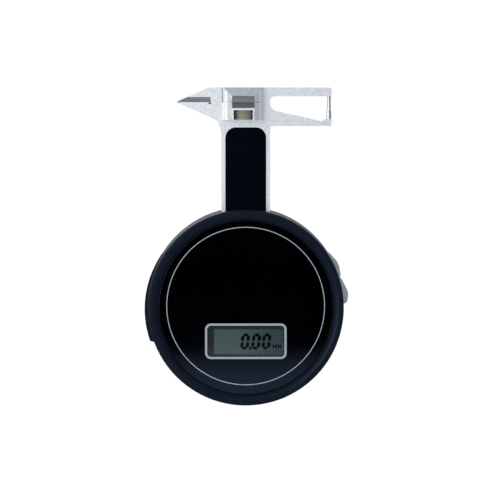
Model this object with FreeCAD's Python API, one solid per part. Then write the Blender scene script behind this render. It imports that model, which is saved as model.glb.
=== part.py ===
import FreeCAD, Part
import math
import os

# Gemstone lever gauge, in millimetres.
# It lies on its back: +Z points out of the display, +Y along the neck to the jaws, +X to the right
# as one reads the display. The origin is the centre of the round body's back face.

V = FreeCAD.Vector
Z_AXIS = V(0, 0, 1)
Y_AXIS = V(0, 1, 0)

# Clearances and the overrun of cutting tools
running_gap = 0.05
pin_gap = 0.03
fit_gap = 0.1
slot_gap = 0.3
thread_gap = 0.02
overrun = 6.0

# Round body
body_radius = 33.0
body_depth = 21.0
parting_height = 12.5
wall = 1.8
wall_draft = math.radians(1.5)
parting_reveal = 0.25
floor = 2.0
back_edge_round = 2.5
rim_outer_round = 0.5
rim_inner_bevel = 1.0
rim_crest_width = 1.2

# Front plate, panel and display window
rim_width = 4.1
panel_thickness = 1.2
panel_top_below_rim = 1.4
front_plate_thickness = 1.5
display_y = -11.15
window_width = 25.4
window_height = 10.2
window_corner = 1.2
lens_thickness = 1.1
cell_width = 26.4
cell_height = 12.4
cell_thickness = 2.0
cell_corner = 0.3
carrier_width = 30.0
carrier_height = 15.0
carrier_window_width = 23.0
strip_offset = 4.6
strip_length = 22.0
strip_width = 1.2

# Circuit board
board_margin = 2.6
board_thickness = 1.2
board_depth_below_plate = 2.1
board_post_radius = 1.6
board_post_inset = 2.1
board_post_angles = (60.0, 120.0, 270.0)
chip_size = 7.0
chip_thickness = 1.2
chip_y = 8.0

# Screws of the M2 family and the brass M6 screw
screw_radius = 0.98
screw_free_hole = 1.1
screw_head_radius = 1.9
screw_head_height = 1.3
driver_radius = 0.75
driver_depth = 0.7
rear_boss_radius = 2.6
rear_boss_inset = 5.2
rear_boss_angles = (134.3, 45.7, 228.7, 331.6)
rear_counterbore_radius = 2.15
rear_counterbore_depth = 2.2
rear_screw_length = 13.6
frame_boss_radius = 2.2
upper_screw_reach = 12.5
lower_screw_reach = 8.2
frame_screw_length = 5.6
board_screw_length = 3.2
anvil_screw_radius = 3.0
anvil_screw_pitch = 1.0
anvil_screw_ridge_depth = 0.35

# Neck, its channel and the tray inside the body
neck_half = 8.1
neck_back = 7.0
neck_floor = 2.0
neck_front = 16.0
channel_half = 5.9
tray_top = 12.0
tray_end_margin = 3.0
tray_foot_length = 7.2
neck_inner_depth = 4.0
ear_half_length = 2.5
upper_ear_reach = 15.2
lower_ear_reach = 10.6
upper_ear_inset = 5.5
lower_ear_inset = 3.0
cover_half = 6.7
cover_thickness = 1.6
cover_proud = 0.2
cover_drop = 8.35
cover_corner = 3.4
cover_end_gap = 0.2

# Head: heights over (rise) and under (drop) the measuring plane, and places across it
split_y = 68.0
head_rise = 4.95
jaw_gap = 0.14
beak_tip_x = -23.0
plate_back = 12.0
upper_beak_knee_x = -19.75
upper_beak_knee_rise = 1.8
upper_beak_shoulder_x = -12.3
lower_beak_root_x = -9.3
lower_beak_root_drop = 6.05
beak_fillet = 2.6
arm_drop = 7.85
arm_right = 28.5
arm_fillet = 0.7
arm_corner = 0.7
arm_top_corner = 1.0
window_left = 8.15
window_rise = 2.05
window_top_corner = 1.7
window_low_left_x = 9.6
window_low_left_drop = 2.7
window_low_right_x = 25.35
window_low_right_drop = 6.25
window_low_corner = 1.6
window_left_drop = 1.55
pin_root_x = 26.3
pin_root_drop = 5.55
relief_left = -12.3
relief_right = -11.55
relief_depth = 0.6

# Centre block with the anvils
block_x = -0.85
block_front = 20.5
block_face_half = 3.7
block_bevel_half = 5.35
block_bevel_height = 18.7
block_side_half = 5.7
block_base_half = 6.9
block_drop = 5.85
block_chamfer_rise = 2.05
block_chamfer_back = 17.2
groove_left = -7.85
groove_right = -6.85
groove_depth = 0.7
anvil_half = 3.65
anvil_back = 14.4
anvil_recess = 0.2
upper_anvil_height = 2.0
lower_anvil_height = 1.92
anvil_screw_z = 17.0
anvil_ledge = 0.65
thread_window_half = 3.2

# Dark blade of the beak and the probe pins
blade_back = 12.8
blade_knee_x = -19.3
blade_knee_rise = 1.8
blade_right = -11.65
probe_x = 27.65
probe_z = 14.0
upper_probe_radius = 0.63
lower_probe_radius = 0.8
probe_meet_drop = 2.45
probe_depth = 2.4

# Slide bar, rack and liners
jaw_travel = 25.0
bar_half = 5.0
bar_thickness = 2.4
bar_end_margin = 2.2
bar_top_inset = 0.2
bar_pad_length = 4.2
bar_end_round = 1.0
jaw_screw_half_spacing = 2.9
jaw_screw_length = 3.9
jaw_screw_head = 1.2
lower_guide_inset = 11.5
lower_guide_length = 6.0
upper_guide_drop = 9.45
upper_guide_length = 8.0
guide_lip = 1.0
guide_thickness = 0.8
scale_half = 3.4
scale_low_inset = 5.0
scale_top_inset = 1.0
scale_thickness = 0.2
sensor_length = 18.7
sensor_top_inset = 0.6
sensor_half = 7.9
sensor_thickness = 0.8

# Gear train: sector on the lever, pinion, gear and rack
pressure_angle = math.radians(25.0)
addendum_share = 0.8
dedendum_share = 1.05
sector_module = 0.4
sector_teeth = 112
pinion_teeth = 10
rack_module = 0.5
gear_teeth = 28
tooth_play = 0.07
gear_bottom = 9.25
gear_top = 11.2
pinion_bottom = 4.4
gear_pin_radius = 0.8
gear_pin_boss = 1.7
gear_pin_boss_top = 4.2

# Thumb lever
lever_pivot_inset = 5.0
lever_pivot_angle = 150.0
lever_bottom = 4.3
lever_wall = 2.0
lever_top_angle = 148.0
lever_mid_angle = 174.0
lever_low_angle = 200.0
lever_low_proud = 1.0
lever_mid_proud = 0.65
lever_plate_bottom = 4.6
lever_plate_top = 6.6
lever_boss_radius = 2.0
lever_boss_top = 9.2
pivot_pin_radius = 1.0
pivot_pin_end = 11.6
pin_foot = 1.0
sector_rim = 2.0
sector_arm_degrees = 4.5
window_margin = 0.45
lever_web_angles = (149.5, 157.0, 165.0, 173.0)
ring_thickness = 0.5
ring_width = 0.8
spring_wire = 0.5
spring_height = 1.8
spring_leg = 4.6

# Buttons and their switches
upper_button_angles = (32.3, 25.0, 16.8)
lower_button_angles = (16.2, 7.5, 1.6)
upper_button_proud_edges = (0.2, 0.35)
lower_button_proud_edges = (0.35, 0.9)
upper_button_proud = 1.25
lower_button_proud = 1.75
button_corner = 1.2
button_crown = 5.0
button_bottom = 4.8
button_flange_bottom = 3.4
button_board_gap = 0.4
button_flange = 1.4
button_travel = 0.5
switch_length = 3.6
switch_width = 4.4
switch_height = 3.0
switch_plunger = 0.9

# Battery, its cover, seal and contacts
battery_inset = 17.793
battery_angle = -46.332
battery_radius = 10.0
battery_height = 3.2
battery_bottom = 3.0
battery_edge_round = 0.4
cover_radius = 11.4
cover_flange = 0.75
cover_inset = 0.2
hub_radius = 10.4
hub_top = 2.9
hub_wall = 1.4
hub_cap = 1.5
lug_reach = 11.25
lug_degrees = 20.0
lug_bottom = 2.1
cover_twist = 45.0
coin_slot_length = 13.0
coin_slot_width = 1.8
coin_slot_depth = 0.7
nest_inner = 11.7
nest_outer = 12.9
nest_top = 6.0
seal_wire = 0.35
seal_height = 1.35
seal_ring = 10.15
contact_thickness = 0.3
contact_width = 3.0
negative_leg_right = 9.1
negative_leg_rise = 7.8
positive_angles = (-70.0, -20.0)


def polar(radius, degrees, x=0, y=0):
    """Point at a radius and an angle round (x, y)."""
    turn = math.radians(degrees)
    return x + radius * math.cos(turn), y + radius * math.sin(turn)


def outline(corners):
    """Closed wire in the XY plane through (x, y, radius) corners, each rounded by its radius."""
    count = len(corners)
    spans = []
    for index, (x, y, radius) in enumerate(corners):
        here = V(x, y, 0)
        before = V(*corners[index - 1][:2], 0) - here
        after = V(*corners[(index + 1) % count][:2], 0) - here
        before.normalize()
        after.normalize()
        half = before.getAngle(after) / 2
        if radius <= 0:
            spans.append((here, None, here))
            continue
        reach = radius / math.tan(half)
        middle = before + after
        middle.normalize()
        crown = here + middle * (radius / math.sin(half) - radius)
        spans.append((here + before * reach, crown, here + after * reach))
    edges = []
    for index, (start, crown, end) in enumerate(spans):
        if crown is not None:
            edges.append(Part.Arc(start, crown, end).toShape())
        following = spans[(index + 1) % count][0]
        if end.distanceToPoint(following) > 1e-6:
            edges.append(Part.LineSegment(end, following).toShape())
    return Part.Wire(edges)


def slab(corners, bottom, top):
    """Plate with a rounded outline between two heights."""
    face = Part.Face(outline(corners))
    face.translate(V(0, 0, bottom))
    return face.extrude(V(0, 0, top - bottom))


def sharp(points):
    """Corners with no rounding."""
    return [(x, y, 0) for x, y in points]


def block(x0, x1, y0, y1, bottom, top):
    """Box between two corners."""
    return Part.makeBox(x1 - x0, y1 - y0, top - bottom, V(x0, y0, bottom))


def disc(radius, bottom, top, x=0, y=0):
    """Upright cylinder."""
    return Part.makeCylinder(radius, top - bottom, V(x, y, bottom), Z_AXIS)


def ring(outer, inner, bottom, top, x=0, y=0):
    """Upright tube."""
    return disc(outer, bottom, top, x, y).cut(disc(inner, bottom, top, x, y))


def turned(corners):
    """Solid of revolution about Z from (radius, height, rounding) corners."""
    face = Part.Face(outline(corners))
    face.rotate(V(0, 0, 0), V(1, 0, 0), math.degrees(math.pi / 2))
    return face.revolve(V(0, 0, 0), Z_AXIS, math.degrees(2 * math.pi))


def sector(inner, outer, first, last, bottom, top, x=0, y=0):
    """Piece of a ring between two angles in degrees."""
    span = last - first
    tube = Part.makeCylinder(outer, top - bottom, V(x, y, bottom), Z_AXIS, span)
    tube.rotate(V(x, y, 0), Z_AXIS, first)
    return tube.cut(disc(inner, bottom - overrun, top + overrun, x, y))


def joined(shapes):
    """All shapes as one solid with clean faces."""
    first, *others = shapes
    return first.fuse(others).removeSplitter()


def group(shapes):
    """Separate solids of one node."""
    solids = [solid for shape in shapes for solid in shape.Solids]
    return Part.makeCompound(solids)


def screw(x, y, seat, length, head=screw_head_height, upward=True):
    """Pan-head screw with a driver recess; upward runs its shank to +Z from the seat."""
    way = 1 if upward else -1
    axis = Z_AXIS * way
    shank = Part.makeCylinder(screw_radius, length, V(x, y, seat), axis)
    cap = Part.makeCylinder(screw_head_radius, head, V(x, y, seat), axis * -1)
    recess_start = V(x, y, seat - way * head)
    recess = Part.makeCylinder(driver_radius, driver_depth, recess_start, axis)
    return shank.fuse(cap).cut(recess).removeSplitter()


def tooth_edges(module, teeth, index, play):
    """Edges of one tooth: root arc, radial foot, involute flank as an arc, tip arc and back down."""
    pitch = module * teeth / 2
    base = pitch * math.cos(pressure_angle)
    tip = pitch + addendum_share * module
    root = pitch - dedendum_share * module
    lean = math.tan(pressure_angle) - pressure_angle
    half = (math.pi * module / 2 - play) / (2 * pitch)
    middle = 2 * math.pi * index / teeth

    def flank(radius, side):
        roll = math.sqrt(max((radius / base) ** 2 - 1, 0))
        turn = half + lean - (roll - math.atan(roll))
        angle = middle + side * turn
        return V(radius * math.cos(angle), radius * math.sin(angle), 0)

    def on_root(side):
        start = flank(max(base, root), side)
        return start * (root / start.Length)

    start = max(base, root)
    between = (start + tip) / 2
    edges = []
    if root < base:
        edges.append(Part.LineSegment(on_root(-1), flank(base, -1)).toShape())
    edges.append(Part.Arc(flank(start, -1), flank(between, -1), flank(tip, -1)).toShape())
    crown = V(tip * math.cos(middle), tip * math.sin(middle), 0)
    edges.append(Part.Arc(flank(tip, -1), crown, flank(tip, 1)).toShape())
    edges.append(Part.Arc(flank(tip, 1), flank(between, 1), flank(start, 1)).toShape())
    if root < base:
        edges.append(Part.LineSegment(flank(base, 1), on_root(1)).toShape())
    return edges, on_root(-1), on_root(1), root


def gear(module, teeth, bottom, top, turn):
    """Spur gear about the origin with its first tooth at the angle turn, in degrees."""
    edges = []
    first_foot = None
    last_foot = None
    for index in range(teeth):
        tooth, foot_in, foot_out, root = tooth_edges(module, teeth, index, tooth_play)
        if last_foot is None:
            first_foot = foot_in
        else:
            edges.append(root_arc(last_foot, foot_in, root))
        edges.extend(tooth)
        last_foot = foot_out
    edges.append(root_arc(last_foot, first_foot, root))
    face = Part.Face(Part.Wire(edges))
    face.translate(V(0, 0, bottom))
    solid = face.extrude(V(0, 0, top - bottom))
    solid.rotate(V(0, 0, 0), Z_AXIS, turn)
    return solid


def root_arc(start, end, radius):
    """Arc of the root circle between two teeth."""
    middle = (start + end) * (1 / 2)
    middle = middle * (radius / middle.Length)
    return Part.Arc(start, middle, end).toShape()


# Derived heights
panel_top = body_depth - panel_top_below_rim
panel_bottom = panel_top - panel_thickness
plate_bottom = panel_bottom - front_plate_thickness
cell_top = panel_bottom - fit_gap
cell_bottom = cell_top - cell_thickness
board_top = plate_bottom - board_depth_below_plate
board_underside = board_top - board_thickness
bar_bottom = neck_back + neck_floor + running_gap
bar_top = bar_bottom + bar_thickness
cover_back = neck_front + cover_proud - cover_thickness
lever_top = parting_height - slot_gap
button_top = parting_height - slot_gap
button_flange_top = board_underside - button_board_gap

# Derived places in the round body
inner_radius = body_radius - wall
panel_radius = body_radius - rim_width
parting_radius = body_radius - parting_height * math.tan(wall_draft)
rim_radius = body_radius - body_depth * math.tan(wall_draft)
board_radius = inner_radius - board_margin
neck_inner_end = body_radius - neck_inner_depth
tray_low_end = tray_end_margin - inner_radius
tray_wall_low_end = tray_low_end + tray_foot_length
upper_ear_y = neck_inner_end - upper_ear_inset
lower_ear_y = tray_low_end + lower_ear_inset
frame_screw_places = [(-upper_screw_reach, upper_ear_y), (upper_screw_reach, upper_ear_y),
                      (-lower_screw_reach, lower_ear_y), (lower_screw_reach, lower_ear_y)]
rear_boss_places = [polar(body_radius - rear_boss_inset, angle) for angle in rear_boss_angles]
battery_place = polar(body_radius - battery_inset, battery_angle)

# Derived places along the neck
head_top = split_y + head_rise
window_top = split_y + window_rise
arm_bottom = split_y - arm_drop
block_bottom = split_y - block_drop
block_chamfer_low = split_y + block_chamfer_rise
pin_root_y = split_y - pin_root_drop
probe_meet_y = split_y - probe_meet_drop
blade_knee_y = split_y + blade_knee_rise
cover_low_end = neck_inner_end + cover_end_gap
cover_top = split_y - cover_drop
bar_low_end = bar_end_margin - inner_radius
bar_top_end = head_top - bar_top_inset
lower_guide_top = neck_inner_end - lower_guide_inset
upper_guide_top = split_y - upper_guide_drop
guide_places = ((lower_guide_top - lower_guide_length, lower_guide_top),
                (upper_guide_top - upper_guide_length, upper_guide_top))
scale_low_end = bar_low_end + scale_low_inset
scale_top_end = neck_inner_end - scale_top_inset
sensor_top_end = neck_inner_end - sensor_top_inset
sensor_low_end = sensor_top_end - sensor_length

# Derived gear places
sector_pitch = sector_module * sector_teeth / 2
pinion_pitch = sector_module * pinion_teeth / 2
gear_pitch = rack_module * gear_teeth / 2
pivot_x, pivot_y = polar(body_radius - lever_pivot_inset, lever_pivot_angle)
rack_line = -(bar_half - addendum_share * rack_module)
gear_x = rack_line - gear_pitch
centre_distance = sector_pitch - pinion_pitch
gear_y = pivot_y - math.sqrt(centre_distance ** 2 - (gear_x - pivot_x) ** 2)
mesh_angle = math.degrees(math.atan2(gear_y - pivot_y, gear_x - pivot_x))
lever_swing = math.degrees(jaw_travel / (sector_pitch * gear_pitch / pinion_pitch))
gear_turn = math.degrees(jaw_travel / gear_pitch)


def lever_end_reach():
    """Distance from the lever's pivot to the outer lower corner of its thumb wall."""
    x, y = polar(body_radius + lever_low_proud, lever_low_angle)
    return math.hypot(x - pivot_x, y - pivot_y)


def lever_slot():
    """Space in the wall for the thumb lever; its lower end is an arc about the pivot."""
    clear = math.degrees(slot_gap / body_radius)
    wide = sector(inner_radius - overrun, body_radius + overrun, lever_top_angle - clear,
                  lever_low_angle + lever_swing, lever_bottom - slot_gap, parting_height)
    reach = disc(lever_end_reach() + slot_gap, lever_bottom - slot_gap, parting_height,
                 pivot_x, pivot_y)
    return wide.common(reach)


def button_slot():
    """Space in the wall for the two buttons."""
    clear = math.degrees(fit_gap / body_radius)
    return sector(inner_radius - overrun, body_radius + overrun,
                  lower_button_angles[-1] - clear, upper_button_angles[0] + clear,
                  button_bottom - fit_gap, parting_height)


def make_rear_housing():
    """Cup with bosses, slots for neck, lever and buttons, and the opening of the battery."""
    battery_x, battery_y = battery_place
    shell = turned([(0, 0, 0), (body_radius, 0, back_edge_round),
                    (parting_radius, parting_height - parting_reveal, 0),
                    (parting_radius - parting_reveal, parting_height, 0),
                    (inner_radius, parting_height, 0),
                    (inner_radius, floor, back_edge_round - wall / 2), (0, floor, 0)])
    parts = [shell]
    for x, y in rear_boss_places:
        parts.append(disc(rear_boss_radius, floor / 2, parting_height, x, y))
    for x, y in frame_screw_places:
        parts.append(disc(frame_boss_radius, floor / 2, neck_back, x, y))
    parts.append(disc(lever_boss_radius, floor / 2, gear_pin_boss_top, pivot_x, pivot_y))
    parts.append(disc(gear_pin_boss, floor / 2, gear_pin_boss_top, gear_x, gear_y))
    parts.append(ring(nest_outer, nest_inner, floor / 2, nest_top, battery_x, battery_y))
    body = joined(parts)
    cuts = [lever_slot(), button_slot()]
    cuts.append(block(-neck_half - fit_gap, neck_half + fit_gap, neck_inner_end,
                      body_radius + overrun, neck_back - fit_gap, parting_height + overrun))
    for x, y in rear_boss_places:
        cuts.append(disc(rear_counterbore_radius, -overrun, rear_counterbore_depth, x, y))
        cuts.append(disc(screw_free_hole, 0, parting_height + overrun, x, y))
    for x, y in frame_screw_places:
        depth = neck_back + neck_floor - frame_screw_length - fit_gap
        cuts.append(disc(screw_radius + thread_gap, depth, neck_back + overrun, x, y))
    cuts.append(disc(pivot_pin_radius + pin_gap, pin_foot, neck_back, pivot_x, pivot_y))
    cuts.append(disc(gear_pin_radius + pin_gap, pin_foot, neck_back, gear_x, gear_y))
    recess = cover_inset + cover_flange + running_gap
    cuts.append(disc(cover_radius + fit_gap * 2, -overrun, recess, battery_x, battery_y))
    cuts.append(disc(hub_radius + fit_gap * 2, 0, floor + running_gap, battery_x, battery_y))
    for turn in (0, 120, 240):
        first = turn + cover_twist - lug_degrees / 2 - 1
        notch = sector(hub_radius - hub_wall, lug_reach + fit_gap, first,
                       first + lug_degrees + 2, 0, floor + running_gap, battery_x, battery_y)
        cuts.append(notch)
    return body.cut(cuts).removeSplitter()


def make_front_housing():
    """Rim with a rounded shoulder, panel seat, front plate, bosses and board posts."""
    bevel_foot = panel_radius + fit_gap
    crest_inner = rim_radius - rim_outer_round - rim_crest_width
    shell = turned([(parting_radius - parting_reveal, parting_height, 0),
                    (parting_radius, parting_height + parting_reveal, 0),
                    (rim_radius, body_depth, rim_outer_round),
                    (crest_inner, body_depth, rim_inner_bevel / 3),
                    (bevel_foot, panel_top + rim_inner_bevel / 4, 0), (bevel_foot, panel_bottom, 0),
                    (0, panel_bottom, 0), (0, plate_bottom, 0),
                    (inner_radius, plate_bottom, wall / 3), (inner_radius, parting_height, 0)])
    parts = [shell]
    for x, y in rear_boss_places:
        parts.append(disc(rear_boss_radius, parting_height, plate_bottom + fit_gap, x, y))
    for x, y in board_posts():
        parts.append(disc(board_post_radius, board_top, plate_bottom + fit_gap, x, y))
    body = joined(parts)
    cuts = [rounded_window(cell_width + fit_gap * 2, cell_height + fit_gap * 2, cell_corner,
                           plate_bottom - overrun, panel_bottom + fit_gap)]
    cuts.append(block(-neck_half - fit_gap, neck_half + fit_gap, neck_inner_end,
                      body_radius + overrun, parting_height - overrun,
                      neck_front + cover_proud + fit_gap))
    for x, y in rear_boss_places:
        top = rear_counterbore_depth + rear_screw_length + fit_gap
        cuts.append(disc(screw_radius + thread_gap, parting_height - overrun, top, x, y))
    for x, y in board_posts():
        top = board_underside + board_screw_length + fit_gap
        cuts.append(disc(screw_radius + thread_gap, board_underside, top, x, y))
    return body.cut(cuts).removeSplitter()


def board_posts():
    """Places of the three posts that carry the circuit board."""
    return [polar(board_radius - board_post_inset, angle) for angle in board_post_angles]


def rounded_window(width, height, corner, bottom, top):
    """Upright block with rounded corners, centred on the display."""
    half_width = width / 2
    low = display_y - height / 2
    high = display_y + height / 2
    return slab([(-half_width, low, corner), (half_width, low, corner),
                 (half_width, high, corner), (-half_width, high, corner)], bottom, top)


def make_display_panel():
    """Glossy round panel with the display's opening."""
    plate = turned([(0, panel_bottom, 0), (panel_radius, panel_bottom, 0),
                    (panel_radius, panel_top, panel_thickness / 6), (0, panel_top, 0)])
    return plate.cut(rounded_window(window_width, window_height, window_corner,
                                    panel_bottom - overrun, panel_top + overrun))


def make_display_lens():
    """Clear window let into the panel."""
    return rounded_window(window_width - fit_gap, window_height - fit_gap,
                          window_corner - fit_gap / 2, panel_top - lens_thickness, panel_top)


def make_lcd_glass():
    """Display cell: two sheets of glass, the rear one longer at the contact edges."""
    step = cell_thickness / 2
    low = rounded_window(cell_width, cell_height, cell_corner, cell_bottom, cell_bottom + step)
    high = rounded_window(cell_width, cell_height - cell_thickness, cell_corner,
                          cell_bottom + step, cell_top)
    return joined([low, high])


def make_display_carrier():
    """Plastic frame under the cell, with a pocket for it and slots for the contact strips."""
    body = rounded_window(carrier_width, carrier_height, window_corner, board_top, plate_bottom)
    pocket_floor = cell_bottom
    pocket = rounded_window(cell_width + fit_gap, cell_height + fit_gap, cell_corner,
                            pocket_floor, plate_bottom + overrun)
    light_well = block(-carrier_window_width / 2, carrier_window_width / 2,
                       display_y - strip_offset + strip_width, display_y + strip_offset - strip_width,
                       board_top - overrun, plate_bottom)
    cuts = [pocket, light_well]
    for side in (-1, 1):
        y = display_y + side * strip_offset
        cuts.append(block(-strip_length / 2 - fit_gap, strip_length / 2 + fit_gap,
                          y - strip_width / 2 - fit_gap, y + strip_width / 2 + fit_gap,
                          board_top - overrun, plate_bottom))
    return body.cut(cuts)


def make_contact_strips():
    """Two elastomer strips between the board and the cell."""
    strips = []
    for side in (-1, 1):
        y = display_y + side * strip_offset
        strips.append(block(-strip_length / 2, strip_length / 2, y - strip_width / 2,
                            y + strip_width / 2, board_top, cell_bottom))
    return group(strips)


def make_main_board():
    """Circuit board with notches round the bosses and the neck."""
    plate = disc(board_radius, board_underside, board_top)
    cuts = [block(-neck_half - slot_gap, neck_half + slot_gap, neck_inner_end - slot_gap * 2,
                  body_radius + overrun, board_underside - overrun, board_top + overrun)]
    for x, y in rear_boss_places:
        cuts.append(disc(rear_boss_radius + slot_gap, board_underside - overrun,
                         board_top + overrun, x, y))
    for x, y in board_posts():
        cuts.append(disc(screw_free_hole, board_underside - overrun, board_top + overrun, x, y))
    return plate.cut(cuts)


def make_processor_chip():
    """Flat square package on the board with a pin-one dimple."""
    half = chip_size / 2
    body = block(-half, half, chip_y - half, chip_y + half, board_top, board_top + chip_thickness)
    dimple = disc(chip_size / 12, board_top + chip_thickness * 0.8,
                  board_top + chip_thickness + overrun, -chip_size / 3, chip_y - chip_size / 3)
    return body.cut(dimple)


def make_board_screws():
    """Three screws from the back of the board into the posts."""
    return group([screw(x, y, board_underside, board_screw_length) for x, y in board_posts()])


def cover_outline(half, low_end, top_end, corner):
    """Outline of the neck cover: straight sides, two round corners at the head."""
    return [(-half, low_end, 0), (half, low_end, 0), (half, top_end, corner),
            (-half, top_end, corner)]


def block_section(y0, y1):
    """Centre block between two places along the neck: base, steep sides, bevels and front face."""
    points = [(-block_base_half, plate_back), (block_base_half, plate_back),
              (block_base_half, neck_front), (block_side_half, block_bevel_height - fit_gap),
              (block_bevel_half, block_bevel_height), (block_face_half, block_front),
              (-block_face_half, block_front), (-block_bevel_half, block_bevel_height),
              (-block_side_half, block_bevel_height - fit_gap), (-block_base_half, neck_front)]
    wire = Part.makePolygon([V(block_x + x, y0, z) for x, z in points + points[:1]])
    return Part.Face(wire).extrude(V(0, y1 - y0, 0))


def make_neck_frame():
    """Metal casting: tray, neck channel, lower jaw with beak and arm, lower half of the block."""
    lower_plate = slab([(beak_tip_x, split_y, 0),
                        (lower_beak_root_x, split_y - lower_beak_root_drop, beak_fillet),
                        (-neck_half, arm_bottom - beak_fillet, 0),
                        (-neck_half, arm_bottom - beak_fillet * 2, 0),
                        (neck_half, arm_bottom - beak_fillet * 2, 0),
                        (neck_half, arm_bottom, arm_fillet),
                        (arm_right, arm_bottom, arm_corner), (arm_right, pin_root_y, arm_corner / 3),
                        (pin_root_x, pin_root_y, 0),
                        (window_low_right_x, split_y - window_low_right_drop, 0),
                        (window_low_left_x, split_y - window_low_left_drop, window_low_corner),
                        (window_left, split_y - window_left_drop, window_low_corner),
                        (window_left, split_y, 0)], plate_back, neck_front)
    neck = block(-neck_half, neck_half, neck_inner_end, split_y - jaw_gap, neck_back, neck_front)
    tray = block(-neck_half, neck_half, tray_wall_low_end, neck_inner_end, neck_back, tray_top)
    tray_foot = block(-neck_half, neck_half, tray_low_end, tray_wall_low_end, neck_back,
                      neck_back + neck_floor)
    ears = []
    for reach, y in ((upper_ear_reach, upper_ear_y), (lower_ear_reach, lower_ear_y)):
        ears.append(slab([(-reach, y - ear_half_length, ear_half_length / 2),
                          (reach, y - ear_half_length, ear_half_length / 2),
                          (reach, y + ear_half_length, ear_half_length / 2),
                          (-reach, y + ear_half_length, ear_half_length / 2)],
                         neck_back, neck_back + neck_floor))
    body = joined([neck, lower_plate, tray, tray_foot, block_section(block_bottom, split_y)] + ears)
    channel_floor = neck_back + neck_floor
    cuts = [block(-channel_half, channel_half, tray_low_end - overrun, neck_inner_end, channel_floor,
                  tray_top + overrun)]
    cuts.append(block(-channel_half, channel_half, neck_inner_end, split_y + overrun, channel_floor,
                      plate_back))
    cuts.append(block(-channel_half, channel_half, neck_inner_end - overrun,
                      cover_top - cover_corner, channel_floor, cover_back + fit_gap))
    cuts.append(slab(cover_outline(cover_half + fit_gap / 2, neck_inner_end - overrun,
                                   cover_top + fit_gap / 2, cover_corner), cover_back, block_front))
    gear_half = gear_pitch + slot_gap * 2
    cuts.append(block(-neck_half - overrun, -channel_half, gear_y - gear_half,
                      gear_y + gear_half, channel_floor, tray_top + overrun))
    for x, y in frame_screw_places:
        cuts.append(disc(screw_free_hole, neck_back - overrun, neck_front, x, y))
    cuts.append(block(relief_left, relief_right, split_y - relief_depth, split_y + overrun,
                      blade_back, neck_front + overrun))
    anvil_low = split_y - lower_anvil_height
    cuts.append(block(block_x - anvil_half - running_gap, block_x + anvil_half + running_gap,
                      anvil_low, split_y + overrun, anvil_back - running_gap, block_front + overrun))
    bore = Part.makeCylinder(anvil_screw_radius + running_gap, anvil_low - block_bottom,
                             V(block_x, block_bottom + fit_gap, anvil_screw_z), Y_AXIS)
    cuts.append(bore)
    cuts.append(block(block_x - thread_window_half, block_x + thread_window_half,
                      block_bottom + fit_gap, anvil_low - anvil_ledge, anvil_screw_z,
                      block_front + overrun))
    cuts.append(probe_hole(lower_probe_radius, pin_root_y - probe_depth, pin_root_y + overrun))
    return body.cut(cuts).removeSplitter()


def probe_hole(radius, y0, y1):
    """Blind hole for a probe pin, along the neck's direction."""
    return Part.makeCylinder(radius + thread_gap, y1 - y0, V(probe_x, y0, probe_z), Y_AXIS)


def make_neck_cover():
    """Black inlay of the neck."""
    return slab(cover_outline(cover_half, cover_low_end, cover_top, cover_corner),
                cover_back, neck_front + cover_proud)


def make_upper_jaw():
    """Moving jaw: beak, upper half of the centre block, arm over the window."""
    low = split_y + jaw_gap
    plate = slab([(beak_tip_x, low, 0), (window_left, low, 0),
                  (window_left, window_top, window_top_corner), (arm_right, window_top, 0),
                  (arm_right, head_top, arm_top_corner), (upper_beak_shoulder_x, head_top,
                                                          arm_top_corner),
                  (upper_beak_knee_x, split_y + upper_beak_knee_rise, 0)],
                plate_back, neck_front)
    top_block = block_section(low, head_top)
    slope = Part.makePolygon([V(0, block_chamfer_low, block_front),
                              V(0, head_top, block_chamfer_back),
                              V(0, head_top + overrun, block_chamfer_back),
                              V(0, head_top + overrun, block_front + overrun),
                              V(0, block_chamfer_low, block_front + overrun),
                              V(0, block_chamfer_low, block_front)])
    chamfer = Part.Face(slope).extrude(V(2 * arm_right, 0, 0))
    chamfer.translate(V(-arm_right, 0, 0))
    body = plate.fuse(top_block.cut(chamfer)).removeSplitter()
    cuts = [slab(sharp([(beak_tip_x - overrun, low - overrun), (blade_right, low - overrun),
                        (blade_right, blade_knee_y), (blade_knee_x, blade_knee_y),
                        (beak_tip_x - running_gap, low)]), blade_back, neck_front + overrun)]
    cuts.append(block(groove_left, groove_right, low - overrun, head_top + overrun,
                      neck_front - groove_depth, neck_front + groove_depth))
    cuts.append(block(block_x - anvil_half - running_gap, block_x + anvil_half + running_gap,
                      low - overrun, low + upper_anvil_height, anvil_back - running_gap,
                      block_front + overrun))
    for side in (-1, 1):
        cuts.append(disc(screw_radius + thread_gap, plate_back - overrun, jaw_screw_tip() + fit_gap,
                         side * jaw_screw_half_spacing, jaw_screw_y()))
    cuts.append(probe_hole(upper_probe_radius, window_top - overrun, window_top + probe_depth))
    return body.cut(cuts).removeSplitter()


def jaw_screw_y():
    """Place of the jaw screws along the neck: the middle of the bar's pad."""
    return bar_top_end - bar_pad_length / 2


def jaw_screw_tip():
    """Height that the jaw screws reach."""
    return bar_bottom + jaw_screw_head + jaw_screw_length


def make_upper_anvil():
    """Dark steel pad in the upper half of the block, its lower face on the measuring plane."""
    return block(block_x - anvil_half, block_x + anvil_half, split_y + jaw_gap / 4,
                 split_y + jaw_gap + upper_anvil_height, anvil_back, block_front - anvil_recess)


def make_lower_anvil():
    """Dark steel pad in the lower half of the block."""
    return block(block_x - anvil_half, block_x + anvil_half, split_y - lower_anvil_height,
                 split_y - jaw_gap / 4, anvil_back, block_front - anvil_recess)


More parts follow.
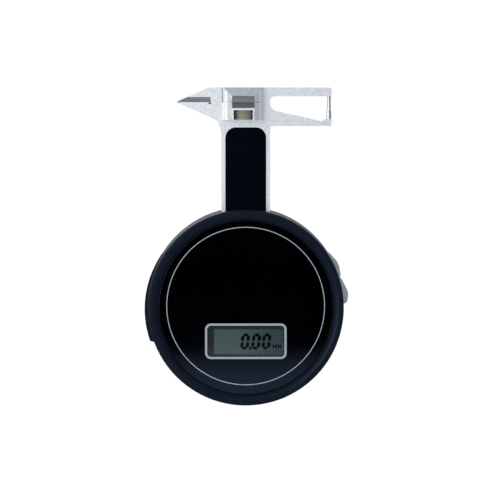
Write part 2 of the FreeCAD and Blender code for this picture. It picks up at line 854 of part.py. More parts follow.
def make_anvil_screw():
    """Brass screw under the lower anvil: ridges of the thread as rings, driver slot below."""
    low = block_bottom + fit_gap
    high = split_y - lower_anvil_height
    core = anvil_screw_radius - anvil_screw_ridge_depth
    corners = [(0, low), (core, low)]
    count = int((high - low) / anvil_screw_pitch)
    for index in range(count):
        foot = low + index * anvil_screw_pitch
        corners.append((core, foot + anvil_screw_pitch / 8))
        corners.append((anvil_screw_radius, foot + anvil_screw_pitch * 3 / 8))
        corners.append((anvil_screw_radius, foot + anvil_screw_pitch * 5 / 8))
        corners.append((core, foot + anvil_screw_pitch * 7 / 8))
    corners.append((core, high))
    corners.append((0, high))
    wire = Part.makePolygon([V(x, y, 0) for x, y in corners + corners[:1]])
    solid = Part.Face(wire).revolve(V(0, 0, 0), Y_AXIS, math.degrees(2 * math.pi))
    solid.translate(V(block_x, 0, anvil_screw_z))
    return solid


def make_upper_beak_blade():
    """Hardened blade let into the upper beak, with its straight edge on the measuring plane."""
    low = split_y + jaw_gap / 2
    return slab(sharp([(beak_tip_x, low), (blade_right - fit_gap / 2, low),
                       (blade_right - fit_gap / 2, blade_knee_y - thread_gap),
                       (blade_knee_x, blade_knee_y - thread_gap)]),
                blade_back, neck_front)


def probe(radius, y0, y1):
    """Round pin along the neck's direction."""
    return Part.makeCylinder(radius, y1 - y0, V(probe_x, y0, probe_z), Y_AXIS)


def make_slide_bar():
    """Bar with the rack on its left edge and a pad for the upper jaw at its top."""
    body = slab([(-bar_half, bar_low_end, bar_end_round), (bar_half, bar_low_end, bar_end_round),
                 (bar_half, bar_top_end, bar_end_round), (-bar_half, bar_top_end, bar_end_round)],
                bar_bottom, bar_top)
    pad = block(-bar_half, bar_half, bar_top_end - bar_pad_length, bar_top_end - bar_end_round,
                bar_top, plate_back)
    body = joined([body, pad])
    cuts = []
    for side in (-1, 1):
        x = side * jaw_screw_half_spacing
        cuts.append(disc(screw_free_hole, bar_bottom - overrun, plate_back + overrun, x,
                         jaw_screw_y()))
        cuts.append(disc(screw_head_radius + fit_gap / 2, bar_bottom - overrun,
                         bar_bottom + jaw_screw_head, x, jaw_screw_y()))
    pitch = math.pi * rack_module
    lowest = math.floor((bar_low_end - gear_y) / pitch)
    highest = math.ceil(gear_pitch / pitch / 2) + 1
    for index in range(lowest, highest):
        cuts.append(rack_space(gear_y + index * pitch))
    return body.cut(cuts).removeSplitter()


def rack_space(y):
    """Space between two rack teeth, centred at y: straight flanks at the pressure angle."""
    deep = dedendum_share * rack_module
    slope = math.tan(pressure_angle)
    half_line = math.pi * rack_module / 4 + tooth_play / 2
    outside = addendum_share * rack_module + overrun
    points = [(rack_line + deep, y - half_line + deep * slope),
              (rack_line + deep, y + half_line - deep * slope),
              (rack_line - outside, y + half_line + outside * slope),
              (rack_line - outside, y - half_line - outside * slope)]
    edge = -bar_half - fit_gap
    tool = slab(sharp(points), bar_bottom - fit_gap, bar_top + fit_gap)
    return tool.common(block(edge, rack_line + rack_module, y - gear_pitch, y + gear_pitch,
                             bar_bottom - overrun, bar_top + overrun))


def make_bar_guides():
    """Four liners between the bar and the channel, each with a lip over the bar's edge."""
    pieces = []
    for low, high in guide_places:
        for side in (-1, 1):
            near = bar_half + running_gap
            far = near + guide_thickness
            x0, x1 = sorted((side * near, side * far))
            upright = block(x0, x1, low, high, bar_bottom, tray_top)
            x2, x3 = sorted((side * (bar_half - guide_lip), side * far))
            lip = block(x2, x3, low, high, bar_top + running_gap, tray_top)
            pieces.append(joined([upright, lip]))
    return group(pieces)


def make_scale_strip():
    """Thin scale on the front of the bar."""
    return block(-scale_half, scale_half, scale_low_end, scale_top_end, bar_top,
                 bar_top + scale_thickness)


def make_sensor_board():
    """Small board on the tray's walls, just over the scale strip."""
    return block(-sensor_half, sensor_half, sensor_low_end, sensor_top_end, tray_top,
                 tray_top + sensor_thickness)


def make_drive_gear():
    """Gear that drives the rack and the pinion below it, turned from one piece."""
    upper = gear(rack_module, gear_teeth, gear_bottom, gear_top, 0)
    lower = gear(sector_module, pinion_teeth, pinion_bottom, gear_bottom, mesh_angle)
    hub = disc(pinion_pitch - dedendum_share * sector_module, pinion_bottom, gear_top)
    body = joined([upper, lower, hub])
    bore = disc(gear_pin_radius + pin_gap, pinion_bottom - overrun, gear_top + overrun)
    cuts = [bore]
    hole_ring = (gear_pitch + pinion_pitch) / 2
    for index in range(5):
        x, y = polar(hole_ring, index * 360 / 5)
        cuts.append(disc(gear_pitch / 6, gear_bottom - overrun, gear_top + overrun, x, y))
    body = body.cut(cuts).removeSplitter()
    body.translate(V(gear_x, gear_y, 0))
    return body


def make_thumb_lever():
    """Thumb wall at the body's edge, pivot boss, web and a plate with an inner toothed sector."""
    wall_outer = [polar(body_radius, lever_top_angle),
                  polar(body_radius + lever_mid_proud, lever_mid_angle),
                  polar(body_radius + lever_low_proud, lever_low_angle)]
    wall_inner = [polar(body_radius - lever_wall, lever_top_angle),
                  polar(body_radius + lever_mid_proud - lever_wall, lever_mid_angle),
                  polar(body_radius + lever_low_proud - lever_wall, lever_low_angle + lever_swing / 3)]
    reach_outer = polar(body_radius + lever_low_proud, lever_low_angle)
    outer_arc = Part.Arc(*[V(x, y, 0) for x, y in wall_outer]).toShape()
    inner_arc = Part.Arc(*[V(x, y, 0) for x, y in wall_inner]).toShape()
    top_edge = Part.LineSegment(V(*wall_inner[0], 0), V(*wall_outer[0], 0)).toShape()
    low_edge = Part.LineSegment(V(*reach_outer, 0), V(*wall_inner[2], 0)).toShape()
    face = Part.Face(Part.Wire([outer_arc, low_edge, inner_arc, top_edge]))
    face.translate(V(0, 0, lever_bottom))
    thumb = face.extrude(V(0, 0, lever_top - lever_bottom))
    thumb = thumb.common(disc(lever_end_reach(), lever_bottom, lever_top, pivot_x, pivot_y))

    tip = pinion_pitch + addendum_share * sector_module
    window_inner = centre_distance - tip - window_margin
    half_window = math.degrees(math.asin((tip + window_margin) / centre_distance))
    window_first = mesh_angle - lever_swing - half_window
    window_last = mesh_angle + half_window
    tooth_root = sector_pitch + dedendum_share * sector_module
    plate_outer = tooth_root + sector_rim
    plate = sector(lever_boss_radius / 2, plate_outer, window_first - sector_arm_degrees,
                   window_last + sector_arm_degrees, lever_plate_bottom, lever_plate_top,
                   pivot_x, pivot_y)
    web_points = [(pivot_x, pivot_y)]
    web_points += [polar(body_radius - lever_wall / 2, angle) for angle in lever_web_angles]
    web_points.append(polar(plate_outer * 3 / 4, window_first - sector_arm_degrees / 2,
                            pivot_x, pivot_y))
    web = slab(sharp(web_points), lever_plate_bottom, lever_plate_top)
    boss = disc(lever_boss_radius, gear_pin_boss_top + fit_gap * 2, lever_boss_top, pivot_x, pivot_y)
    body = joined([plate, web, thumb, boss])

    window = sector(window_inner, sector_pitch - addendum_share * sector_module, window_first,
                    window_last, lever_plate_bottom - overrun, lever_plate_top + overrun,
                    pivot_x, pivot_y)
    cuts = [window, disc(pivot_pin_radius + pin_gap, lever_bottom - overrun,
                         lever_boss_top + overrun, pivot_x, pivot_y)]
    step = 360 / sector_teeth
    behind = int((lever_swing + half_window / 2) / step) + 1
    ahead = int(half_window / 2 / step) + 1
    for index in range(-behind, ahead + 1):
        cuts.append(sector_space(mesh_angle + index * step))
    for index in range(5):
        share = (index + 1) / 6
        angle = window_first + share * (window_last - window_first)
        x, y = polar(window_inner * 3 / 5, angle, pivot_x, pivot_y)
        if index % 2 == 0:
            cuts.append(disc(lever_boss_radius, lever_plate_bottom - overrun,
                             lever_plate_top + overrun, x, y))
    return body.cut(cuts).removeSplitter()


def sector_space(angle):
    """Space between two inner teeth of the sector: flanks that lean with the pressure angle."""
    inner = sector_pitch - addendum_share * sector_module - fit_gap
    outer = sector_pitch + dedendum_share * sector_module
    half_line = math.pi * sector_module / 4 + tooth_play / 2
    slope = math.tan(pressure_angle)
    half_inner = half_line + (sector_pitch - inner) * slope
    half_outer = half_line - (outer - sector_pitch) * slope
    points = [(inner, -half_inner), (outer, -half_outer), (outer, half_outer), (inner, half_inner)]
    tool = slab(sharp(points), lever_plate_bottom - overrun, lever_plate_top + overrun)
    tool.rotate(V(0, 0, 0), Z_AXIS, angle)
    tool.translate(V(pivot_x, pivot_y, 0))
    return tool


def make_retaining_rings():
    """Two spring rings in the grooves' places of the pins, over the lever's boss and the gear."""
    rings = []
    for x, y, radius, seat in ((pivot_x, pivot_y, pivot_pin_radius, lever_boss_top),
                               (gear_x, gear_y, gear_pin_radius, gear_top)):
        low = seat + running_gap
        tube = ring(radius + ring_width, radius + thread_gap, low, low + ring_thickness, x, y)
        mouth = block(x, x + radius + ring_width * 2, y - ring_width / 2, y + ring_width / 2,
                      low - overrun, low + overrun)
        rings.append(tube.cut(mouth))
    return group(rings)


def make_return_spring():
    """Torsion spring round the lever's boss, with one leg along the lever and one to the wall."""
    inner = lever_boss_radius + fit_gap * 2
    outer = inner + spring_wire
    low = lever_plate_top + fit_gap
    coil = ring(outer, inner, low, low + spring_height, pivot_x, pivot_y)
    leg = block(0, spring_leg, inner, outer, low, low + spring_wire)
    first = leg.copy()
    first.translate(V(pivot_x, pivot_y, 0))
    first.rotate(V(pivot_x, pivot_y, 0), Z_AXIS, mesh_angle)
    second = leg.copy()
    second.translate(V(pivot_x, pivot_y, spring_height - spring_wire))
    second.rotate(V(pivot_x, pivot_y, 0), Z_AXIS, lever_pivot_angle / 3)
    return joined([coil, first, second])


def button(angles, proud_edges, proud):
    """Button between two angles: crowned face outside, a wider flange behind the wall."""
    first, peak, last = angles
    start, end = proud_edges
    root = inner_radius - slot_gap
    corners = [(*polar(root - button_flange / 2, first), 0),
               (*polar(body_radius + start, first), button_corner / 4),
               (*polar(body_radius + proud, peak), button_crown),
               (*polar(body_radius + end, last), button_corner),
               (*polar(root - button_flange / 2, last), 0)]
    cap = slab(corners, button_bottom, button_top)
    flange = sector(root - button_flange, root, last, first, button_flange_bottom,
                    button_flange_top)
    return joined([cap, flange])


def make_side_switches():
    """Two small switches under the board's edge, behind the buttons."""
    switches = []
    for angles in (upper_button_angles, lower_button_angles):
        middle = (angles[0] + angles[-1]) / 2
        end = inner_radius - slot_gap - button_flange - button_travel - fit_gap
        start = end - switch_length
        body = block(start, end - switch_plunger, -switch_width / 2, switch_width / 2,
                     board_underside - switch_height, board_underside)
        plunger = block(end - switch_plunger, end, -switch_width / 4, switch_width / 4,
                        board_underside - switch_height * 3 / 4,
                        board_underside - switch_height / 4)
        switch = joined([body, plunger])
        switch.rotate(V(0, 0, 0), Z_AXIS, middle)
        switches.append(switch)
    return group(switches)


def make_coin_cell():
    """Coin cell with rounded edges and the smaller inner cap."""
    x, y = battery_place
    step = battery_edge_round
    can = turned([(0, battery_bottom, 0), (battery_radius, battery_bottom, step),
                  (battery_radius, battery_bottom + battery_height - step, step / 2),
                  (battery_radius - step * 4, battery_bottom + battery_height - step, 0),
                  (battery_radius - step * 4, battery_bottom + battery_height, step / 3),
                  (0, battery_bottom + battery_height, 0)])
    can.translate(V(x, y, 0))
    return can


def make_battery_cover():
    """Round cover with a coin slot, a seal groove and three bayonet lugs."""
    x, y = battery_place
    flange_top = cover_inset + cover_flange
    body = turned([(0, cover_inset, 0), (cover_radius, cover_inset, cover_inset),
                   (cover_radius, flange_top, 0), (hub_radius, flange_top, 0),
                   (hub_radius, hub_top, 0), (hub_radius - hub_wall, hub_top, 0),
                   (hub_radius - hub_wall, hub_cap, 0), (0, hub_cap, 0)])
    groove_low = seal_height - seal_wire
    groove = ring(hub_radius + fit_gap, seal_ring - seal_wire, groove_low, seal_height + seal_wire)
    parts = [body.cut(groove)]
    for turn in (0, 120, 240):
        parts.append(sector(hub_radius - hub_wall / 2, lug_reach, turn - lug_degrees / 2,
                            turn + lug_degrees / 2, lug_bottom, hub_top))
    cover = joined(parts)
    half = coin_slot_length / 2
    round_end = coin_slot_width / 2
    slot = block(-half, half, -round_end, round_end, 0, cover_inset + coin_slot_depth)
    ends = [disc(round_end, 0, cover_inset + coin_slot_depth, side * half) for side in (-1, 1)]
    cover = cover.cut([slot] + ends)
    cover.translate(V(x, y, 0))
    return cover


def make_battery_seal():
    """Rubber ring in the cover's groove."""
    x, y = battery_place
    return Part.makeTorus(seal_ring, seal_wire, V(x, y, seal_height), Z_AXIS)


def make_positive_contact():
    """Curved spring strip at the cell's side with a leg up to the board."""
    x, y = battery_place
    inner = battery_radius + fit_gap
    outer = inner + contact_thickness
    first, last = positive_angles
    strip = sector(inner, outer, first, last, battery_bottom + slot_gap, nest_top, x, y)
    middle = (first + last) / 2
    half = math.degrees(contact_width / 2 / outer)
    leg = sector(inner, outer, middle - half, middle + half, battery_bottom + slot_gap,
                 board_underside, x, y)
    return joined([strip, leg])


def make_negative_contact():
    """Leaf over the cell's inner cap with a leg up to the board."""
    x, y = battery_place
    low = battery_bottom + battery_height
    high = low + contact_thickness
    reach = math.hypot(negative_leg_right, negative_leg_rise)
    turn = math.degrees(math.atan2(negative_leg_rise, negative_leg_right))
    half = contact_width / 2
    leaf = block(-battery_radius / 3, reach, -half, half, low, high)
    leg = block(reach - contact_thickness, reach, -half, half, low, board_underside)
    piece = joined([leaf, leg])
    piece.rotate(V(0, 0, 0), Z_AXIS, turn)
    piece.translate(V(x, y, 0))
    return piece


def make_rear_screws():
    """Four screws that hold the shells together, from the back."""
    return group([screw(x, y, rear_counterbore_depth, rear_screw_length)
                  for x, y in rear_boss_places])


def make_frame_screws():
    """Four screws that hold the frame's ears on the rear housing."""
    seat = neck_back + neck_floor
    return group([screw(x, y, seat, frame_screw_length, upward=False)
                  for x, y in frame_screw_places])


def make_jaw_screws():
    """Two screws from the back of the bar into the upper jaw."""
    return group([screw(side * jaw_screw_half_spacing, jaw_screw_y(), bar_bottom + jaw_screw_head,
                        jaw_screw_length, jaw_screw_head - running_gap) for side in (-1, 1)])


nodes = {
    "rear_housing": make_rear_housing(),
    "front_housing": make_front_housing(),
    "display_panel": make_display_panel(),
    "display_lens": make_display_lens(),
    "lcd_glass": make_lcd_glass(),
    "display_carrier": make_display_carrier(),
    "contact_strips": make_contact_strips(),
    "main_board": make_main_board(),
    "processor_chip": make_processor_chip(),
    "board_screws": make_board_screws(),
    "neck_frame": make_neck_frame(),
    "neck_cover": make_neck_cover(),
    "slide_bar": make_slide_bar(),
    "bar_guides": make_bar_guides(),
    "upper_jaw": make_upper_jaw(),
    "jaw_screws": make_jaw_screws(),
    "upper_anvil": make_upper_anvil(),
    "lower_anvil": make_lower_anvil(),
    "anvil_screw": make_anvil_screw(),
    "upper_beak_blade": make_upper_beak_blade(),
    "upper_probe_pin": probe(upper_probe_radius, probe_meet_y + jaw_gap / 4,
                             window_top + probe_depth - fit_gap),
    "lower_probe_pin": probe(lower_probe_radius, pin_root_y - probe_depth + fit_gap,
                             probe_meet_y - jaw_gap / 4),
    "scale_strip": make_scale_strip(),
    "sensor_board": make_sensor_board(),
    "thumb_lever": make_thumb_lever(),
    "lever_pivot_pin": disc(pivot_pin_radius, pin_foot, pivot_pin_end, pivot_x, pivot_y),
    "drive_gear": make_drive_gear(),
    "gear_pin": disc(gear_pin_radius, pin_foot, pivot_pin_end + ring_thickness, gear_x, gear_y),
    "retaining_rings": make_retaining_rings(),
    "return_spring": make_return_spring(),
    "power_button": button(upper_button_angles, upper_button_proud_edges, upper_button_proud),
    "zero_button": button(lower_button_angles, lower_button_proud_edges, lower_button_proud),
    "side_switches": make_side_switches(),
    "coin_cell": make_coin_cell(),
    "battery_cover": make_battery_cover(),
    "battery_seal": make_battery_seal(),
    "positive_contact": make_positive_contact(),
    "negative_contact": make_negative_contact(),
    "rear_screws": make_rear_screws(),
    "frame_screws": make_frame_screws(),
}

os.makedirs("parts", exist_ok=True)
for name, shape in nodes.items():
    shape.exportStep(f"parts/{name}.step")
    low, high = shape.BoundBox.ZMin, shape.BoundBox.ZMax
    print(f"{name:18s} solids {len(shape.Solids)} valid {shape.isValid()} "
          f"volume {shape.Volume:9.2f} z {low:6.2f} to {high:6.2f}")
print(f"pivot {pivot_x:.4f} {pivot_y:.4f}, gear {gear_x:.4f} {gear_y:.4f}, mesh {mesh_angle:.3f}")
print(f"lever swing {lever_swing:.4f} degrees, gear turn {gear_turn:.3f} degrees")
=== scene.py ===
# %% [markdown]
# # A gemstone lever gauge, dressed for the camera
# The gauge is a round black body with a glossy panel and a small display, a short metal neck and a
# metal head with three pairs of measuring places. Its parts come ready made at their real size.
# This lesson gives them their finish and adds the prints, the digits and the fine threads.
# Everything is in metres. The gauge lies on its back: Z points out of the display and Y along
# the neck to the jaws.

# %% Load the parts
import bpy
import math
import numpy as np
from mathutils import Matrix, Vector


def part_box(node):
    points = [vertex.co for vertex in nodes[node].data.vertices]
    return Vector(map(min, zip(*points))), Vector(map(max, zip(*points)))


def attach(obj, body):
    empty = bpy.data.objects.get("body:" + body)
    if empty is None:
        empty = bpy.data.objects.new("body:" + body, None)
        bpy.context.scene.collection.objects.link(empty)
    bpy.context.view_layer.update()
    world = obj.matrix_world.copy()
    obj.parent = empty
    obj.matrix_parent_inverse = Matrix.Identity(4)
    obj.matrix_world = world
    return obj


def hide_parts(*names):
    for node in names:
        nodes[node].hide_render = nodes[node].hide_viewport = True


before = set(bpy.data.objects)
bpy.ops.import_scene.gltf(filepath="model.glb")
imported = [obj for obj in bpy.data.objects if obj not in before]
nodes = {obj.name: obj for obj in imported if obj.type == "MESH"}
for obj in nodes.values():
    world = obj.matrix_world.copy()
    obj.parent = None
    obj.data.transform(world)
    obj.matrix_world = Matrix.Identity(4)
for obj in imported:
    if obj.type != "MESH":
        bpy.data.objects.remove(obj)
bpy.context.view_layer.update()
MM = 0.001

# %% [markdown]
# The new pieces take their places from the parts that carry them, so the places are read from the
# parts' own boxes: the tops of the panel and the display cell, the window and the brass screw.

# %% Places read from the parts
panel_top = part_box("display_panel")[1][2]
cell_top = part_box("lcd_glass")[1][2]
thread_low, thread_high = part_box("anvil_screw")
lens_low, lens_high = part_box("display_lens")
display_y = (lens_low[1] + lens_high[1]) / 2
print("panel top", round(panel_top / MM, 2), "display at y", round(display_y / MM, 2))

# %% [markdown]
# The picture looks down on the gauge from nearly a metre. The head is seen straight from above, and
# at the body a thin light crescent, its side wall, shows over the black rim, so the camera stands
# over the head and a little to the left. The field of view follows from the picture's scale in
# millimetres per pixel, and the aim from the pixel of the rim's centre.

# %% Camera
PICTURE_PIXELS = 493
MM_PER_PIXEL = 0.3310
BODY_CENTRE_PIXEL = (245.86, 307.95)
CAMERA_OVER = (-8 * MM, 62 * MM)
CAMERA_HEIGHT = 0.89
CLIP_SHARES = (1 / 50, 20)
FOCUS_HEIGHT = 20 * MM
SENSOR = 36.0

camera_data = bpy.data.cameras.new("camera")
camera = bpy.data.objects.new("camera", camera_data)
bpy.context.scene.collection.objects.link(camera)
bpy.context.scene.camera = camera
half_picture = PICTURE_PIXELS / 2
aim = Vector(((half_picture - BODY_CENTRE_PIXEL[0]) * MM_PER_PIXEL * MM,
                 (BODY_CENTRE_PIXEL[1] - half_picture) * MM_PER_PIXEL * MM, FOCUS_HEIGHT))
camera.location = (*CAMERA_OVER, FOCUS_HEIGHT + CAMERA_HEIGHT)
reach = camera.location - aim
camera.rotation_euler = (-math.atan2(reach.y, math.hypot(reach.x, reach.z)),
                         math.atan2(reach.x, reach.z), 0.0)
field = PICTURE_PIXELS * MM_PER_PIXEL * MM
camera_data.sensor_width = SENSOR
camera_data.lens = SENSOR * reach.length / field
camera_data.clip_start = CAMERA_HEIGHT * CLIP_SHARES[0]
camera_data.clip_end = CAMERA_HEIGHT * CLIP_SHARES[1]
bpy.context.scene.view_settings.view_transform = "Standard"
print("lens", round(camera_data.lens, 1), "field mm", round(field / MM, 1))

# %% [markdown]
# A few helpers keep the node trees readable: one adds a node with its settings, one joins two
# sockets, and one starts a node group with named inputs and outputs.

# %% Helpers for node trees
def add(tree, kind, **settings):
    """One node of a tree, with its properties, or its inputs by name, set."""
    node = tree.nodes.new(kind)
    for key, value in settings.items():
        if hasattr(node, key):
            setattr(node, key, value)
        else:
            node.inputs[key.replace("_", " ")].default_value = value
    return node


def link(tree, source, target):
    """Joins an output socket to an input socket."""
    tree.links.new(source, target)


def math_node(tree, operation, first, second=None, clamp=False):
    """Math node on sockets or numbers; gives its output socket."""
    node = add(tree, "ShaderNodeMath", operation=operation, use_clamp=clamp)
    for slot, value in enumerate((first, second)):
        if value is None:
            continue
        if isinstance(value, (int, float)):
            node.inputs[slot].default_value = value
        else:
            link(tree, value, node.inputs[slot])
    return node.outputs[0]


def smooth_range(tree, value, low, high, to_low=0.0, to_high=1.0):
    """Smooth step of a value between two limits; gives its output socket."""
    node = add(tree, "ShaderNodeMapRange", interpolation_type="SMOOTHSTEP")
    link(tree, value, node.inputs["Value"])
    for name, number in (("From Min", low), ("From Max", high), ("To Min", to_low),
                         ("To Max", to_high)):
        node.inputs[name].default_value = number
    return node.outputs["Result"]


def box_mask(tree, ranges, soft):
    """One inside a box and zero outside, on the object's own coordinates: for each axis with
    limits, a rising and a falling smooth step, all multiplied."""
    place = add(tree, "ShaderNodeTexCoord")
    split = add(tree, "ShaderNodeSeparateXYZ")
    link(tree, place.outputs["Object"], split.inputs[0])
    steps = []
    for axis, (low, high) in ranges:
        steps.append(smooth_range(tree, split.outputs[axis], low - soft, low + soft))
        steps.append(smooth_range(tree, split.outputs[axis], high - soft, high + soft, 1.0, 0.0))
    inside = steps[0]
    for step in steps[1:]:
        inside = math_node(tree, "MULTIPLY", inside, step)
    return inside


def start_group(name, inputs, outputs):
    """Node group with sockets given as (name, type, default) and (name, type)."""
    tree = bpy.data.node_groups.new(name, "ShaderNodeTree")
    for label, kind, default in inputs:
        socket = tree.interface.new_socket(label, in_out="INPUT", socket_type=kind)
        if default is not None:
            socket.default_value = default
    for label, kind in outputs:
        tree.interface.new_socket(label, in_out="OUTPUT", socket_type=kind)
    return tree, tree.nodes.new("NodeGroupInput"), tree.nodes.new("NodeGroupOutput")

# %% [markdown]
# The light is a pale studio. The sky is brightest overhead, and near the horizon it is brighter
# towards the far and near sides and a little towards the right, which gives the bevels of the head
# their different greys. Overhead it has a dark patch, as over a copying stand, and the glossy panel
# mirrors black there. Smooth steps of the direction give the patch its straight edges, and past the
# lower one the panel mirrors the sky again, which is the blue glow at its lower side. How the real
# picture was lit isn't known. These levels were found by setting the render beside it.

# %% Sky
DARK_EDGE_DEGREES = (5.5, 4.7)
DARK_HALF_DEGREES = (7.0, 9.0)
SKY_TOP = 0.64
SKY_SIDE = 0.34
SKY_RIGHT_GAIN = 0.08
SKY_ENDS_GAIN = 0.34
SKY_RISE = (0.15, 0.85)
SKY_COLOUR = (0.88, 0.95, 1.05)

world = bpy.data.worlds.new("studio_sky")
bpy.context.scene.world = world
world.use_nodes = True
sky = world.node_tree
sky.nodes.clear()
direction = add(sky, "ShaderNodeTexCoord").outputs["Generated"]
axes = add(sky, "ShaderNodeSeparateXYZ")
link(sky, direction, axes.inputs[0])
to_right, to_far, to_top = axes.outputs
to_side = math_node(sky, "MULTIPLY_ADD", to_right, SKY_RIGHT_GAIN)
to_side.node.inputs[2].default_value = SKY_SIDE
low_sky = math_node(sky, "MULTIPLY_ADD", math_node(sky, "ABSOLUTE", to_far), SKY_ENDS_GAIN)
link(sky, to_side, low_sky.node.inputs[2])
height_share = smooth_range(sky, to_top, *SKY_RISE)
rise = math_node(sky, "MULTIPLY", height_share, math_node(sky, "SUBTRACT", SKY_TOP, low_sky))
level = math_node(sky, "ADD", low_sky, rise)
near_edge = [-math.sin(math.radians(angle)) for angle in DARK_EDGE_DEGREES]
outer_edge = [math.sin(math.radians(angle)) for angle in DARK_HALF_DEGREES]
past_near = smooth_range(sky, to_far, *near_edge)
before_far = smooth_range(sky, to_far, *outer_edge, 1.0, 0.0)
between = smooth_range(sky, math_node(sky, "ABSOLUTE", to_right), *outer_edge, 1.0, 0.0)
overhead = math_node(sky, "GREATER_THAN", to_top, 0.0)
dark = math_node(sky, "MULTIPLY", past_near, before_far)
dark = math_node(sky, "MULTIPLY", math_node(sky, "MULTIPLY", dark, between), overhead)
open_sky = math_node(sky, "SUBTRACT", 1.0, dark)
background = add(sky, "ShaderNodeBackground")
background.inputs["Color"].default_value = (*SKY_COLOUR, 1.0)
link(sky, math_node(sky, "MULTIPLY", level, open_sky), background.inputs["Strength"])
link(sky, background.outputs[0], add(sky, "ShaderNodeOutputWorld").inputs["Surface"])
print("sky with a dark patch of", 2 * DARK_HALF_DEGREES[0], "degrees")

# %% [markdown]
# One wide lamp on the left gives the soft shadow on the right of the block. A stronger lamp would
# match the photograph's shadow better, but the pale steep faces on the block's left then clip to
# white, so the lamp stays low and the metal keeps its one colour.
# The gauge lies on a plain white floor. The camera sees it near paper white, with a part of the
# shading kept, so the gauge's shadow stays. Reflections see a white sheet on a dark table,
# brightest on the head's side and on the left, which draws the light crescent on the body's wall.
# Right below the seam of the closed jaws the floor keeps more of its shade, because white floor
# would show through the gap, where the photograph is dark. In side views and when the jaw is open,
# that strip is a thin grey line on the floor. The floor lies a hair under the gauge and is clear
# from below, so that the back can be looked at.

# %% Lamp and floor
LAMP_PLACE = (-0.28, 0.11, 0.31)
LAMP_WIDTH = 0.30
LAMP_WATTS = 0.88
LAMP_AIM = (0.0, 0.03, 0.0)
FLOOR_HALF = 4.0
PAPER_COLOUR = (0.9, 0.9, 0.9)
PAPER_ROUGH = 0.9
FLOOR_DROP = 0.05 * MM
FLOOR_LIFT = 0.95
FLOOR_SEEN = 1.06
FLOOR_MIRRORED = (0.36, 0.88)
MIRRORED_COLOUR = (0.90, 0.95, 1.06)
SHEET_SLOPE_Y = (8 * MM, 30 * MM)
SHEET_SLOPE_X = (-10 * MM, 30 * MM)
SHEET_RIGHT_SHARE = 0.68
SHEET_REACH = (0.08, 0.16)
SHEET_FAR_SHARE = 0.12
SEAM_SHADE_X = (-23 * MM, 8.2 * MM)
SEAM_SHADE_Y = (67.7 * MM, 68.4 * MM)
SHADE_SOFT = 0.2 * MM
SEAM_SHADE = 0.6

lamp_data = bpy.data.lights.new("window_lamp", "AREA")
lamp_data.energy = LAMP_WATTS
lamp_data.size = LAMP_WIDTH
lamp = bpy.data.objects.new("window_lamp", lamp_data)
bpy.context.scene.collection.objects.link(lamp)
lamp.location = LAMP_PLACE
aim_line = np.array(LAMP_PLACE) - np.array(LAMP_AIM)
lamp.rotation_mode = "QUATERNION"
lamp.rotation_quaternion = Vector(aim_line.tolist()).to_track_quat("Z", "Y")

floor_mesh = bpy.data.meshes.new("floor")
corner = np.array([(-1, -1, 0), (1, -1, 0), (1, 1, 0), (-1, 1, 0)], float) * FLOOR_HALF
corner[:, 2] = -FLOOR_DROP
floor_mesh.from_pydata(corner.tolist(), [], [(0, 1, 2, 3)])
floor = bpy.data.objects.new("floor", floor_mesh)
bpy.context.scene.collection.objects.link(floor)

floor_material = bpy.data.materials.new("white_floor")
floor_material.use_nodes = True
tree = floor_material.node_tree
tree.nodes.clear()
paper = add(tree, "ShaderNodeBsdfPrincipled", Roughness=PAPER_ROUGH)
paper.inputs["Base Color"].default_value = (*PAPER_COLOUR, 1)
rays = add(tree, "ShaderNodeLightPath")
glow = add(tree, "ShaderNodeEmission")
place = add(tree, "ShaderNodeTexCoord")
distance = add(tree, "ShaderNodeVectorMath", operation="LENGTH")
link(tree, place.outputs["Object"], distance.inputs[0])
on_floor = add(tree, "ShaderNodeSeparateXYZ")
link(tree, place.outputs["Object"], on_floor.inputs[0])
mirrored = math_node(
    tree, "MULTIPLY", smooth_range(tree, on_floor.outputs[1], *SHEET_SLOPE_Y, *FLOOR_MIRRORED),
    smooth_range(tree, on_floor.outputs[0], *SHEET_SLOPE_X, 1.0, SHEET_RIGHT_SHARE))
mirrored = math_node(
    tree, "MULTIPLY", mirrored,
    smooth_range(tree, distance.outputs["Value"], *SHEET_REACH, 1.0, SHEET_FAR_SHARE))
missing = math_node(tree, "SUBTRACT", FLOOR_SEEN, mirrored)
by_camera = math_node(tree, "MULTIPLY", rays.outputs["Is Camera Ray"], missing)
link(tree, math_node(tree, "ADD", mirrored, by_camera), glow.inputs["Strength"])
glow_colour = add(tree, "ShaderNodeMix", data_type="RGBA")
glow_colour.inputs["A"].default_value = (*MIRRORED_COLOUR, 1)
glow_colour.inputs["B"].default_value = (1, 1, 1, 1)
link(tree, rays.outputs["Is Camera Ray"], glow_colour.inputs["Factor"])
link(tree, glow_colour.outputs["Result"], glow.inputs["Color"])
seen = math_node(tree, "MAXIMUM", rays.outputs["Is Camera Ray"], rays.outputs["Is Glossy Ray"])
seen = math_node(tree, "MAXIMUM", seen, rays.outputs["Is Transmission Ray"])
seam = box_mask(tree, ((0, SEAM_SHADE_X), (1, SEAM_SHADE_Y)), SHADE_SOFT)
seam = math_node(tree, "MULTIPLY", seam, SEAM_SHADE)
seen = math_node(tree, "MULTIPLY", seen, math_node(tree, "SUBTRACT", 1.0, seam))
blend = add(tree, "ShaderNodeMixShader")
link(tree, math_node(tree, "MULTIPLY", seen, FLOOR_LIFT), blend.inputs[0])
link(tree, paper.outputs[0], blend.inputs[1])
link(tree, glow.outputs[0], blend.inputs[2])
from_below = add(tree, "ShaderNodeMixShader")
link(tree, add(tree, "ShaderNodeNewGeometry").outputs["Backfacing"], from_below.inputs[0])
link(tree, blend.outputs[0], from_below.inputs[1])
link(tree, add(tree, "ShaderNodeBsdfTransparent").outputs[0], from_below.inputs[2])
link(tree, from_below.outputs[0], add(tree, "ShaderNodeOutputMaterial").inputs["Surface"])
floor.data.materials.append(floor_material)
